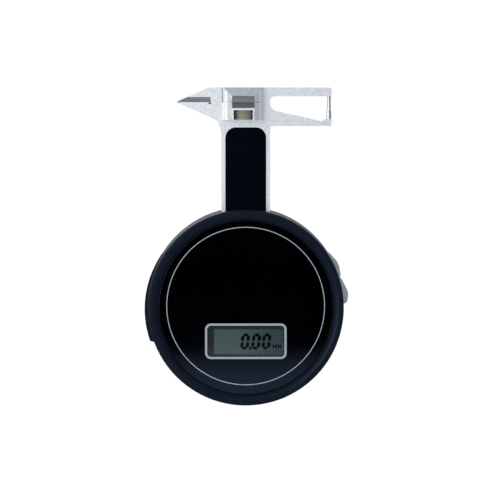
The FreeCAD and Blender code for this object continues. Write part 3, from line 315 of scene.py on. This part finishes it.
print("lamp of", LAMP_WATTS, "W at", LAMP_PLACE)

# %% [markdown]
# Two effects come back in many finishes, so each is a node group. The first is a grain: two sizes
# of noise that shade a surface a little and give it a fine bump. The second finds edges: a
# normal that is rounded over a short distance leans away from the true one only near an edge, so
# one minus their dot product is a mask of the worn edges. The same rounded normal, given to the
# shader, makes a moulded edge look as soft as it is.

# %% Effects as node groups
VALUE = "NodeSocketFloat"
VECTOR = "NodeSocketVector"

grain_group, grain_in, grain_out = start_group(
    "grain", [("Vector", VECTOR, None), ("Fine Scale", VALUE, 4000.0),
              ("Broad Scale", VALUE, 300.0), ("Bump", VALUE, 0.1), ("Depth", VALUE, 0.00002),
              ("Edge Round", VALUE, 0.00005)],
    [("Fine", VALUE), ("Broad", VALUE), ("Normal", VECTOR)])
fine = add(grain_group, "ShaderNodeTexNoise", Detail=3.0, Roughness=0.6)
broad = add(grain_group, "ShaderNodeTexNoise", Detail=4.0, Roughness=0.55)
relief = add(grain_group, "ShaderNodeBump")
soft_normal = add(grain_group, "ShaderNodeBevel", samples=6)
link(grain_group, grain_in.outputs["Edge Round"], soft_normal.inputs["Radius"])
link(grain_group, soft_normal.outputs["Normal"], relief.inputs["Normal"])
for noise, scale in ((fine, "Fine Scale"), (broad, "Broad Scale")):
    link(grain_group, grain_in.outputs["Vector"], noise.inputs["Vector"])
    link(grain_group, grain_in.outputs[scale], noise.inputs["Scale"])
link(grain_group, grain_in.outputs["Bump"], relief.inputs["Strength"])
link(grain_group, grain_in.outputs["Depth"], relief.inputs["Distance"])
link(grain_group, fine.outputs["Fac"], relief.inputs["Height"])
link(grain_group, fine.outputs["Fac"], grain_out.inputs["Fine"])
link(grain_group, broad.outputs["Fac"], grain_out.inputs["Broad"])
link(grain_group, relief.outputs["Normal"], grain_out.inputs["Normal"])

edge_group, edge_in, edge_out = start_group(
    "worn_edges", [("Radius", VALUE, 0.0002), ("Sharpness", VALUE, 0.12)], [("Mask", VALUE)])
rounded = add(edge_group, "ShaderNodeBevel", samples=6)
link(edge_group, edge_in.outputs["Radius"], rounded.inputs["Radius"])
true_normal = add(edge_group, "ShaderNodeNewGeometry")
agree = add(edge_group, "ShaderNodeVectorMath", operation="DOT_PRODUCT")
link(edge_group, rounded.outputs["Normal"], agree.inputs[0])
link(edge_group, true_normal.outputs["Normal"], agree.inputs[1])
lean = math_node(edge_group, "SUBTRACT", 1.0, agree.outputs["Value"])
spread = add(edge_group, "ShaderNodeMapRange")
link(edge_group, lean, spread.inputs["Value"])
link(edge_group, edge_in.outputs["Sharpness"], spread.inputs["From Max"])
link(edge_group, spread.outputs["Result"], edge_out.inputs["Mask"])
print("node groups", [group.name for group in bpy.data.node_groups])

# %% [markdown]
# Every finish starts the same way: a shader, the object's own coordinates, the grain group, and a
# colour that wanders between two tones with the broad noise. A Mapping node can stretch the
# pattern, which turns the same grain into grinding lines.

# %% The shared start of a finish
TONE_SPREAD = (0.3, 0.7)
ROUGH_SPREAD = (0.25, 0.75)
WEAR_SPREAD = (0.3, 0.7)
WEAR_SHARES = (0.35, 0.9)


def finish(name, dark, light, rough, metallic=0.0, specular=0.5, fine_scale=4000.0,
           broad_scale=300.0, bump=0.1, depth=0.00002, stretch=(1, 1, 1), edge=None,
           edge_colour=None, coat=0.0, soft=0.00005):
    """Material with a two-tone colour, varied roughness, grain bump, softened edges and, if
    asked, worn edges."""
    material = bpy.data.materials.new(name)
    material.use_nodes = True
    tree = material.node_tree
    shader = tree.nodes["Principled BSDF"]
    shader.inputs["Metallic"].default_value = metallic
    shader.inputs["Specular IOR Level"].default_value = specular
    shader.inputs["Coat Weight"].default_value = coat
    place = add(tree, "ShaderNodeTexCoord")
    mapping = add(tree, "ShaderNodeMapping")
    mapping.inputs["Scale"].default_value = stretch
    link(tree, place.outputs["Object"], mapping.inputs["Vector"])
    grain = add(tree, "ShaderNodeGroup", node_tree=grain_group)
    for label, value in (("Fine Scale", fine_scale), ("Broad Scale", broad_scale),
                         ("Bump", bump), ("Depth", depth), ("Edge Round", soft)):
        grain.inputs[label].default_value = value
    link(tree, mapping.outputs["Vector"], grain.inputs["Vector"])
    tone = add(tree, "ShaderNodeMix", data_type="RGBA")
    tone.inputs["A"].default_value = (*dark, 1)
    tone.inputs["B"].default_value = (*light, 1)
    tone_share = smooth_range(tree, grain.outputs["Broad"], *TONE_SPREAD)
    link(tree, tone_share, tone.inputs["Factor"])
    colour = tone.outputs["Result"]
    roughness = smooth_range(tree, grain.outputs["Broad"], *ROUGH_SPREAD, *rough)
    if edge is not None:
        worn = add(tree, "ShaderNodeGroup", node_tree=edge_group)
        worn.inputs["Radius"].default_value = edge
        wear = add(tree, "ShaderNodeMix", data_type="RGBA")
        wear.inputs["B"].default_value = (*edge_colour, 1)
        patchy = math_node(tree, "MULTIPLY", worn.outputs["Mask"],
                           smooth_range(tree, grain.outputs["Fine"], *WEAR_SPREAD, *WEAR_SHARES))
        link(tree, patchy, wear.inputs["Factor"])
        link(tree, colour, wear.inputs["A"])
        colour = wear.outputs["Result"]
    link(tree, colour, shader.inputs["Base Color"])
    link(tree, roughness, shader.inputs["Roughness"])
    link(tree, grain.outputs["Normal"], shader.inputs["Normal"])
    return material


def grey(level, tint=(1.0, 1.0, 1.0)):
    """Colour of a grey level with a slight tint."""
    return tuple(level * share for share in tint)

# %% [markdown]
# The head and neck look like a light casting blasted with fine beads: pale, dull and even, with a
# cloudy mottle that one sees close up and edges that are rubbed a little brighter. The shells
# look like satin black plastic with a fine moulded texture. The panel is a glossy black sheet.
# What the two blacks mirror is tinted blue, as the photograph shows it: their specular tint is a
# painted blue in the reflections, standing in for bluish light.

# %% Finishes of the outside
SATIN_MIRROR_TINT = (0.64, 0.79, 1.0)
GLOSS_MIRROR_TINT = (0.50, 0.68, 1.0)

blasted = finish("blasted_metal", (0.79, 0.805, 0.80), (0.93, 0.935, 0.92), (0.50, 0.60),
                 metallic=1.0, fine_scale=5200.0, broad_scale=1300.0, bump=0.35, depth=0.00002,
                 edge=0.00018, edge_colour=grey(0.97))
satin_black = finish("satin_black", (0.0015, 0.004, 0.010), (0.0025, 0.006, 0.014), (0.36, 0.46),
                     specular=0.2, fine_scale=6500.0, broad_scale=260.0, bump=0.22,
                     depth=0.00003, edge=0.00015, edge_colour=(0.010, 0.013, 0.020),
                     soft=0.0006)
gloss_black = finish("gloss_black", (0.0003, 0.0003, 0.0004), (0.0005, 0.0005, 0.0006),
                     (0.02, 0.05), specular=0.52, fine_scale=900.0, broad_scale=60.0, bump=0.01,
                     depth=0.000004)
# The specular tint is a painted blue in the reflections of both blacks, standing in for bluish
# light.
for black, tint in ((satin_black, SATIN_MIRROR_TINT), (gloss_black, GLOSS_MIRROR_TINT)):
    black_shader = black.node_tree.nodes["Principled BSDF"]
    black_shader.inputs["Specular Tint"].default_value = (*tint, 1)
inlay_black = finish("inlay_black", (0.0001, 0.0014, 0.0036), (0.0002, 0.0020, 0.0050),
                     (0.5, 0.6), specular=0.02, fine_scale=5000.0, broad_scale=200.0, bump=0.15,
                     depth=0.00002)
soft_grey = finish("soft_grey", (0.56, 0.64, 0.62), (0.62, 0.70, 0.68), (0.42, 0.52),
                   fine_scale=6000.0, broad_scale=300.0, bump=0.2, depth=0.00002)
print("outside finishes", len(bpy.data.materials) - 1)

# %% [markdown]
# In the photograph the foot of the rim's inner bevel is darker than its crest. Why can't be told
# from one picture. A rougher foot spreads the lamp's reflection and looks that way, so the
# roughness rises there, and the distance from the body's axis picks the foot out.

# %% Dull foot of the rim
RIM_FOOT = (29.3 * MM, 30.4 * MM)
FOOT_ROUGH = 0.5

tree = satin_black.node_tree
shader = tree.nodes["Principled BSDF"]
flat = add(tree, "ShaderNodeVectorMath", operation="MULTIPLY")
flat.inputs[1].default_value = (1, 1, 0)
link(tree, add(tree, "ShaderNodeTexCoord").outputs["Object"], flat.inputs[0])
off_axis = add(tree, "ShaderNodeVectorMath", operation="LENGTH")
link(tree, flat.outputs[0], off_axis.inputs[0])
foot = smooth_range(tree, off_axis.outputs["Value"], *RIM_FOOT, FOOT_ROUGH, 0.0)
rough_now = shader.inputs["Roughness"].links[0].from_socket
link(tree, math_node(tree, "ADD", rough_now, foot, clamp=True), shader.inputs["Roughness"])
print("rim foot mm", [round(v / MM, 1) for v in RIM_FOOT])

# %% [markdown]
# The small metal pieces are ground, lapped or turned, which leaves fine parallel lines: the same
# grain, stretched many times along one axis. The anvils and the beak's blade are dark hard steel,
# the adjusting screw is brass and the screws are plated.

# %% Finishes of the small metal pieces
LINES_ALONG_X = (0.05, 1, 1)
LINES_ALONG_Y = (1, 0.05, 1)
STEEL_BLUE = (0.93, 1.0, 1.05)
STEEL_TONE_SHARES = (0.82, 1.18)
STEEL_WORN_SHARE = 1.8


def dark_steel(name, level):
    """Lapped dark steel of a grey level, with fine lines along X and paler worn edges."""
    dark, light = (grey(level * share, STEEL_BLUE) for share in STEEL_TONE_SHARES)
    return finish(name, dark, light, (0.50, 0.60), metallic=1.0, fine_scale=5000.0,
                  broad_scale=1200.0, bump=0.25, stretch=LINES_ALONG_X, edge=0.00008,
                  edge_colour=grey(level * STEEL_WORN_SHARE, STEEL_BLUE))


anvil_light = dark_steel("upper_anvil_steel", 0.26)
anvil_dark = dark_steel("lower_anvil_steel", 0.14)
blade_steel = dark_steel("blade_steel", 0.25)
ground_steel = finish("ground_steel", grey(0.50), grey(0.62), (0.22, 0.34), metallic=1.0,
                      fine_scale=5000.0, broad_scale=700.0, bump=0.2, stretch=LINES_ALONG_Y,
                      edge=0.0001, edge_colour=grey(0.8))
plated = finish("plated_steel", grey(0.52), grey(0.64), (0.2, 0.32), metallic=1.0,
                fine_scale=3000.0, broad_scale=900.0, bump=0.1, edge=0.0001,
                edge_colour=grey(0.85))
turned_brass = finish("turned_brass", (0.30, 0.29, 0.21), (0.40, 0.38, 0.28), (0.6, 0.7),
                      metallic=0.35, fine_scale=4500.0, broad_scale=800.0, bump=0.15,
                      stretch=LINES_ALONG_X, edge=0.00008, edge_colour=(0.66, 0.62, 0.50))
nickel = finish("nickel_strip", (0.55, 0.52, 0.46), (0.68, 0.65, 0.58), (0.2, 0.3),
                metallic=1.0, fine_scale=3000.0, broad_scale=600.0, bump=0.08)

# %% [markdown]
# The pieces inside are hardly seen, but each still has its own finish: lacquered board, moulded
# package, natural plastic and rubber.

# %% Finishes of the inner pieces
lacquer = finish("board_lacquer", (0.012, 0.11, 0.05), (0.02, 0.17, 0.08), (0.25, 0.4),
                 fine_scale=2500.0, broad_scale=350.0, bump=0.1, coat=0.3)
package = finish("chip_package", grey(0.02), grey(0.035), (0.5, 0.65), fine_scale=6000.0,
                 broad_scale=700.0, bump=0.25)
natural = finish("natural_plastic", (0.66, 0.65, 0.60), (0.74, 0.73, 0.69), (0.4, 0.55),
                 fine_scale=4000.0, broad_scale=300.0, bump=0.1)
rubber = finish("black_rubber", grey(0.015), grey(0.025), (0.7, 0.85), fine_scale=5000.0,
                broad_scale=400.0, bump=0.3)

# %% [markdown]
# The display cell is grey-green where the liquid crystal is, with a darker frame round it. The
# frame is partly the cell's printed border and partly a painted shadow of the window's well, which
# makes it wider on the left. Two smooth steps along each axis give the lit field, which darkens to
# the right, and the polariser's faint streaks come from the stretched noise. The window over it is
# clear plastic.

# %% Finishes of the display
FIELD_X = (-10.5 * MM, 12.5 * MM)
FIELD_Y = (display_y - 4.4 * MM, display_y + 3.9 * MM)
FIELD_SOFT = 0.35 * MM
FIELD_SHADE_X = (-6.0 * MM, 12.0 * MM)
# The frame colour serves the cell's printed border and a painted shadow of the window's well.
CELL_FRAME_AND_SHADOW_COLOUR = (0.018, 0.028, 0.031)
FIELD_SHADE_COLOUR = (0.58, 0.58, 0.62)
WINDOW_IOR = 1.49

cell_material = finish("display_cell", (0.110, 0.180, 0.172), (0.120, 0.195, 0.186), (0.25, 0.35),
                       fine_scale=3000.0, broad_scale=120.0, bump=0.02, stretch=LINES_ALONG_X)
tree = cell_material.node_tree
shader = tree.nodes["Principled BSDF"]
field_colour = shader.inputs["Base Color"].links[0].from_socket
# Outside the lit field lies the frame: printed border plus painted well shadow, widest on the left.
inside = box_mask(tree, ((0, FIELD_X), (1, FIELD_Y)), FIELD_SOFT)
place = add(tree, "ShaderNodeTexCoord")
along = add(tree, "ShaderNodeSeparateXYZ")
link(tree, place.outputs["Object"], along.inputs[0])
frame_and_shadow = add(tree, "ShaderNodeMix", data_type="RGBA")
frame_and_shadow.inputs["A"].default_value = (*CELL_FRAME_AND_SHADOW_COLOUR, 1)
link(tree, inside, frame_and_shadow.inputs["Factor"])
shaded = add(tree, "ShaderNodeMix", data_type="RGBA", blend_type="MULTIPLY")
shaded.inputs["B"].default_value = (*FIELD_SHADE_COLOUR, 1)
link(tree, smooth_range(tree, along.outputs[0], *FIELD_SHADE_X), shaded.inputs["Factor"])
link(tree, field_colour, shaded.inputs["A"])
link(tree, shaded.outputs["Result"], frame_and_shadow.inputs["B"])
link(tree, frame_and_shadow.outputs["Result"], shader.inputs["Base Color"])

lens_material = finish("clear_window", grey(0.95), grey(1.0), (0.01, 0.03), fine_scale=900.0,
                       broad_scale=80.0, bump=0.01, depth=0.000004)
lens_shader = lens_material.node_tree.nodes["Principled BSDF"]
lens_shader.inputs["Transmission Weight"].default_value = 1.0
lens_shader.inputs["IOR"].default_value = WINDOW_IOR
print("display field mm", [round(v / MM, 1) for v in FIELD_X + FIELD_Y])

# %% [markdown]
# Now each part gets its finish. One table says which parts share which, so a change of mind is one
# line.

# %% Which part has which finish
FINISH_OF = {
    "blasted": (blasted, ("neck_frame", "upper_jaw")),
    "satin": (satin_black, ("rear_housing", "front_housing", "thumb_lever", "battery_cover")),
    "gloss": (gloss_black, ("display_panel",)),
    "inlay": (inlay_black, ("neck_cover",)),
    "soft": (soft_grey, ("power_button", "zero_button")),
    "light anvil": (anvil_light, ("upper_anvil",)),
    "dark anvil": (anvil_dark, ("lower_anvil",)),
    "blade": (blade_steel, ("upper_beak_blade",)),
    "ground": (ground_steel, ("slide_bar", "upper_probe_pin", "lower_probe_pin", "gear_pin",
                              "lever_pivot_pin", "return_spring", "coin_cell")),
    "plated": (plated, ("rear_screws", "frame_screws", "board_screws", "jaw_screws",
                        "retaining_rings")),
    "brass": (turned_brass, ("anvil_screw", "drive_gear")),
    "nickel": (nickel, ("positive_contact", "negative_contact")),
    "lacquer": (lacquer, ("main_board", "sensor_board", "scale_strip")),
    "package": (package, ("processor_chip", "side_switches")),
    "natural": (natural, ("display_carrier", "bar_guides")),
    "rubber": (rubber, ("contact_strips", "battery_seal")),
    "cell": (cell_material, ("lcd_glass",)),
    "lens": (lens_material, ("display_lens",)),
}
for material, names in FINISH_OF.values():
    for name in names:
        mesh = nodes[name].data
        mesh.materials.clear()
        mesh.materials.append(material)
dressed = sum(len(names) for _, names in FINISH_OF.values())
print("dressed", dressed, "of", len(nodes))

# %% [markdown]
# The prints and lines are thin bands that follow a path. A band is a closed profile, given as
# offsets across the path and heights, carried along the path's points and normals. That one
# surface, worked out as whole arrays, makes the ring on the panel and the line round the display.

# %% Helpers for new surfaces
def surface(name, points, wrap_u, wrap_v, body, material):
    """Mesh from a grid of points (u, v, 3): a quad joins each point to its next in u and in v,
    and the last column joins the first where that direction wraps."""
    rows, columns = points.shape[:2]
    u, v = np.meshgrid(np.arange(rows if wrap_u else rows - 1),
                       np.arange(columns if wrap_v else columns - 1), indexing="ij")
    u_next = (u + 1) % rows
    v_next = (v + 1) % columns
    quads = np.stack([u * columns + v, u_next * columns + v, u_next * columns + v_next,
                      u * columns + v_next], axis=-1).reshape(-1, 4)
    return mesh_piece(name, points.reshape(-1, 3), quads.tolist(), body, material)


def mesh_piece(name, points, faces, body, material):
    """Object from points and faces that rides on a body."""
    mesh = bpy.data.meshes.new(name)
    mesh.from_pydata(points.tolist(), [], faces)
    mesh.materials.append(material)
    mesh.update()
    piece = bpy.data.objects.new(name, mesh)
    bpy.context.scene.collection.objects.link(piece)
    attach(piece, body)
    print(name, "faces", len(mesh.polygons))
    return piece


def band(name, path, normals, width, low, high, material):
    """Band of a given width along a closed path: the profile is a rectangle whose offsets
    run along the path's normals and whose heights run from low to high."""
    offsets = np.array([-1, -1, 1, 1]) * width / 2
    heights = np.array([low, high, high, low])
    flat = path[:, None, :] + normals[:, None, :] * offsets[None, :, None]
    tall = np.broadcast_to(heights, flat.shape[:2])[..., None]
    return surface(name, np.concatenate([flat, tall], axis=2), True, True, "housing",
                   material)

# %% [markdown]
# A fine light ring is printed on the panel, and a thicker line frames the display. Both are
# silk-screen ink, so they stand only two hundredths of a millimetre over the sheet. The ring's
# path is a circle. The frame's path is a rectangle with round corners: each of its points is a
# corner's centre plus the corner radius along the point's own direction.

# %% Printed ring and display line
INK_RISE = 0.02 * MM
INK_SINK = 0.01 * MM
RING_RADIUS = 26.16 * MM
RING_WIDTH = 0.26 * MM
RING_CENTRE = (-0.06 * MM, 0.53 * MM)
LINE_HALF = (13.17 * MM, 5.55 * MM)
LINE_CORNER = 1.6 * MM
LINE_WIDTH = 0.72 * MM
RING_STEPS = 256
CORNER_STEPS = 12

ink = finish("pale_ink", (0.35, 0.40, 0.43), (0.40, 0.45, 0.48), (0.35, 0.5), fine_scale=7000.0,
             broad_scale=900.0, bump=0.1)
ring_ink = finish("ring_ink", (0.36, 0.41, 0.47), (0.46, 0.51, 0.57), (0.35, 0.5),
                  fine_scale=7000.0, broad_scale=900.0, bump=0.1)
turn = np.linspace(0, 2 * np.pi, RING_STEPS, endpoint=False)
round_way = np.stack([np.cos(turn), np.sin(turn)], axis=1)
band("printed_ring", round_way * RING_RADIUS + RING_CENTRE, round_way, RING_WIDTH,
     panel_top - INK_SINK, panel_top + INK_RISE, ring_ink)


def rounded_path(half_width, half_height, corner, centre_y):
    """Points and normals of a rectangle with round corners, counter-clockwise."""
    quarter = np.linspace(0, np.pi / 2, CORNER_STEPS)
    angles = (np.arange(4)[:, None] * np.pi / 2 + quarter[None, :]).ravel()
    ways = np.stack([np.cos(angles), np.sin(angles)], axis=1)
    signs = np.repeat(np.array([(1, 1), (-1, 1), (-1, -1), (1, -1)]), CORNER_STEPS, axis=0)
    centres = signs * (half_width - corner, half_height - corner) + (0, centre_y)
    return centres + ways * corner, ways


line_path, line_ways = rounded_path(*LINE_HALF, LINE_CORNER, display_y)
band("display_line", line_path, line_ways, LINE_WIDTH, panel_top - INK_SINK,
     panel_top + INK_RISE, ink)

# %% [markdown]
# The display shows three digits, a point and the unit. The digits are made of seven segments,
# each a bar with pointed ends. They lean a little to the right, so each point moves along X by a
# share of its height. They are flat plates on the cell's face.

# %% Digits
DIGIT_LOW = display_y - 2.85 * MM
DIGIT_HEIGHT = 5.35 * MM
DIGIT_WIDTH = 2.85 * MM
DIGIT_LEFT = (-1.98 * MM, 1.68 * MM, 5.10 * MM)
SEGMENT = 1.0 * MM
SEGMENT_GAP = 0.05 * MM
LEAN = 0.12
DIGIT_RISE = 0.03 * MM
DOT_PLACE = (1.45 * MM, display_y - 2.42 * MM)
DOT_SHARE = 0.45

digit_ink = finish("digit_ink", (0.0006, 0.0012, 0.0016), (0.0010, 0.0018, 0.0024), (0.4, 0.5),
                   specular=0.05, fine_scale=4000.0, broad_scale=500.0, bump=0.05)


def plates(name, outlines, low, high, body, material):
    """Flat plates: each outline (n, 2) gives a lower and an upper ring of points, joined by
    side quads and closed by two caps."""
    points = []
    faces = []
    for shape in outlines:
        count = len(shape)
        start = len(points)
        for height in (low, high):
            points.extend(np.column_stack([shape, np.full(count, height)]).tolist())
        faces.append(list(range(start + count - 1, start - 1, -1)))
        faces.append(list(range(start + count, start + 2 * count)))
        for index in range(count):
            after = (index + 1) % count
            faces.append([start + index, start + after, start + count + after,
                          start + count + index])
    return mesh_piece(name, np.array(points), faces, body, material)


def bar_outline(x0, y0, x1, y1, width):
    """Six points of a bar with pointed ends between two places, counter-clockwise."""
    start = np.array([x0, y0])
    end = np.array([x1, y1])
    way = (end - start) / np.hypot(*(end - start))
    side = np.array([-way[1], way[0]]) * width / 2
    nose = way * width / 2
    return np.array([start, start + nose - side, end - nose - side, end, end - nose + side,
                     start + nose + side])


def leaned(shape):
    """Outline with each point moved along X by a share of its height over the digits' foot."""
    moved = shape.copy()
    moved[:, 0] += (shape[:, 1] - DIGIT_LOW) * LEAN
    return moved


def zero_outlines(left):
    """The six lit segments of a zero: a rectangle of bars, the tall sides in two halves."""
    x0, x1 = left + SEGMENT / 2, left + DIGIT_WIDTH - SEGMENT / 2
    y0, y2 = DIGIT_LOW + SEGMENT / 2, DIGIT_LOW + DIGIT_HEIGHT - SEGMENT / 2
    y1 = (y0 + y2) / 2
    gap = SEGMENT_GAP
    bars = [(x0 + gap, y0, x1 - gap, y0), (x0 + gap, y2, x1 - gap, y2)]
    for x in (x0, x1):
        bars += [(x, y0 + gap, x, y1 - gap), (x, y1 + gap, x, y2 - gap)]
    return [leaned(bar_outline(*bar, SEGMENT)) for bar in bars]


digit_shapes = [shape for left in DIGIT_LEFT for shape in zero_outlines(left)]
dot_way = np.array([(-1, -1), (1, -1), (1, 1), (-1, 1)]) * SEGMENT * DOT_SHARE
digit_shapes.append(leaned(dot_way + DOT_PLACE))
plates("display_digits", digit_shapes, cell_top, cell_top + DIGIT_RISE, "housing",
       digit_ink)

# %% [markdown]
# The unit is two small capital letters M, each of four straight strokes.

# %% Unit
UNIT_LOW = display_y - 2.70 * MM
UNIT_HEIGHT = 1.55 * MM
UNIT_WIDTH = 1.28 * MM
UNIT_LEFT = (8.98 * MM, 10.55 * MM)
UNIT_STROKE = 0.31 * MM
UNIT_VALLEY = 0.35


def stroke_outline(x0, y0, x1, y1):
    """Four points of a straight stroke, counter-clockwise."""
    start = np.array([x0, y0])
    end = np.array([x1, y1])
    way = (end - start) / np.hypot(*(end - start))
    side = np.array([-way[1], way[0]]) * UNIT_STROKE / 2
    return np.array([start - side, end - side, end + side, start + side])


unit_shapes = []
for left in UNIT_LEFT:
    x0, x1 = left + UNIT_STROKE / 2, left + UNIT_WIDTH - UNIT_STROKE / 2
    middle = (x0 + x1) / 2
    top = UNIT_LOW + UNIT_HEIGHT
    valley = UNIT_LOW + UNIT_HEIGHT * UNIT_VALLEY
    for stroke in ((x0, UNIT_LOW, x0, top), (x1, UNIT_LOW, x1, top), (x0, top, middle, valley),
                   (middle, valley, x1, top)):
        unit_shapes.append(stroke_outline(*stroke))
plates("display_unit", unit_shapes, cell_top, cell_top + DIGIT_RISE, "housing",
       digit_ink)

# %% [markdown]
# The brass screw under the lower anvil has a real thread. Its radius is a function of the place
# along its axis and the angle: the distance to the nearest crest of a helix, folded into a
# triangle and cut flat at crest and root. Two flat ends close it.

# %% Brass screw with its thread
THREAD_PITCH = 1.0 * MM
THREAD_DEPTH = 0.40 * MM
THREAD_AROUND = 64
THREAD_STEPS_PER_PITCH = 16
ROOT_SHARE = 0.15
FLANK_SHARE = 0.7

axis_x = (thread_low[0] + thread_high[0]) / 2
axis_z = (thread_low[2] + thread_high[2]) / 2
thread_radius = (thread_high[0] - thread_low[0]) / 2
length = thread_high[1] - thread_low[1]
rows = int(round(length / THREAD_PITCH * THREAD_STEPS_PER_PITCH)) + 1
along_axis = np.linspace(0, length, rows)
round_axis = np.linspace(0, 2 * np.pi, THREAD_AROUND, endpoint=False)
phase = along_axis[:, None] / THREAD_PITCH + round_axis[None, :] / (2 * np.pi)
folded = np.abs(phase - np.floor(phase) - 0.5) * 2
cut = np.clip((folded - ROOT_SHARE) / FLANK_SHARE, 0, 1)
radius = thread_radius - THREAD_DEPTH * (1 - cut)
radius[0] = radius[-1] = thread_radius - THREAD_DEPTH
along = np.broadcast_to(along_axis[:, None], radius.shape)
grid = np.stack([axis_x + radius * np.cos(round_axis), thread_low[1] + along,
                 axis_z - radius * np.sin(round_axis)], axis=2)
first_end, last_end = (np.broadcast_to((axis_x, y, axis_z), (1, THREAD_AROUND, 3))
                       for y in (thread_low[1], thread_high[1]))
closed = np.concatenate([first_end, grid, last_end])
screw = surface("anvil_screw_thread", closed, False, True, "housing", turned_brass)
screw.data.polygons.foreach_set("use_smooth", np.ones(len(screw.data.polygons), bool))
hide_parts("anvil_screw")
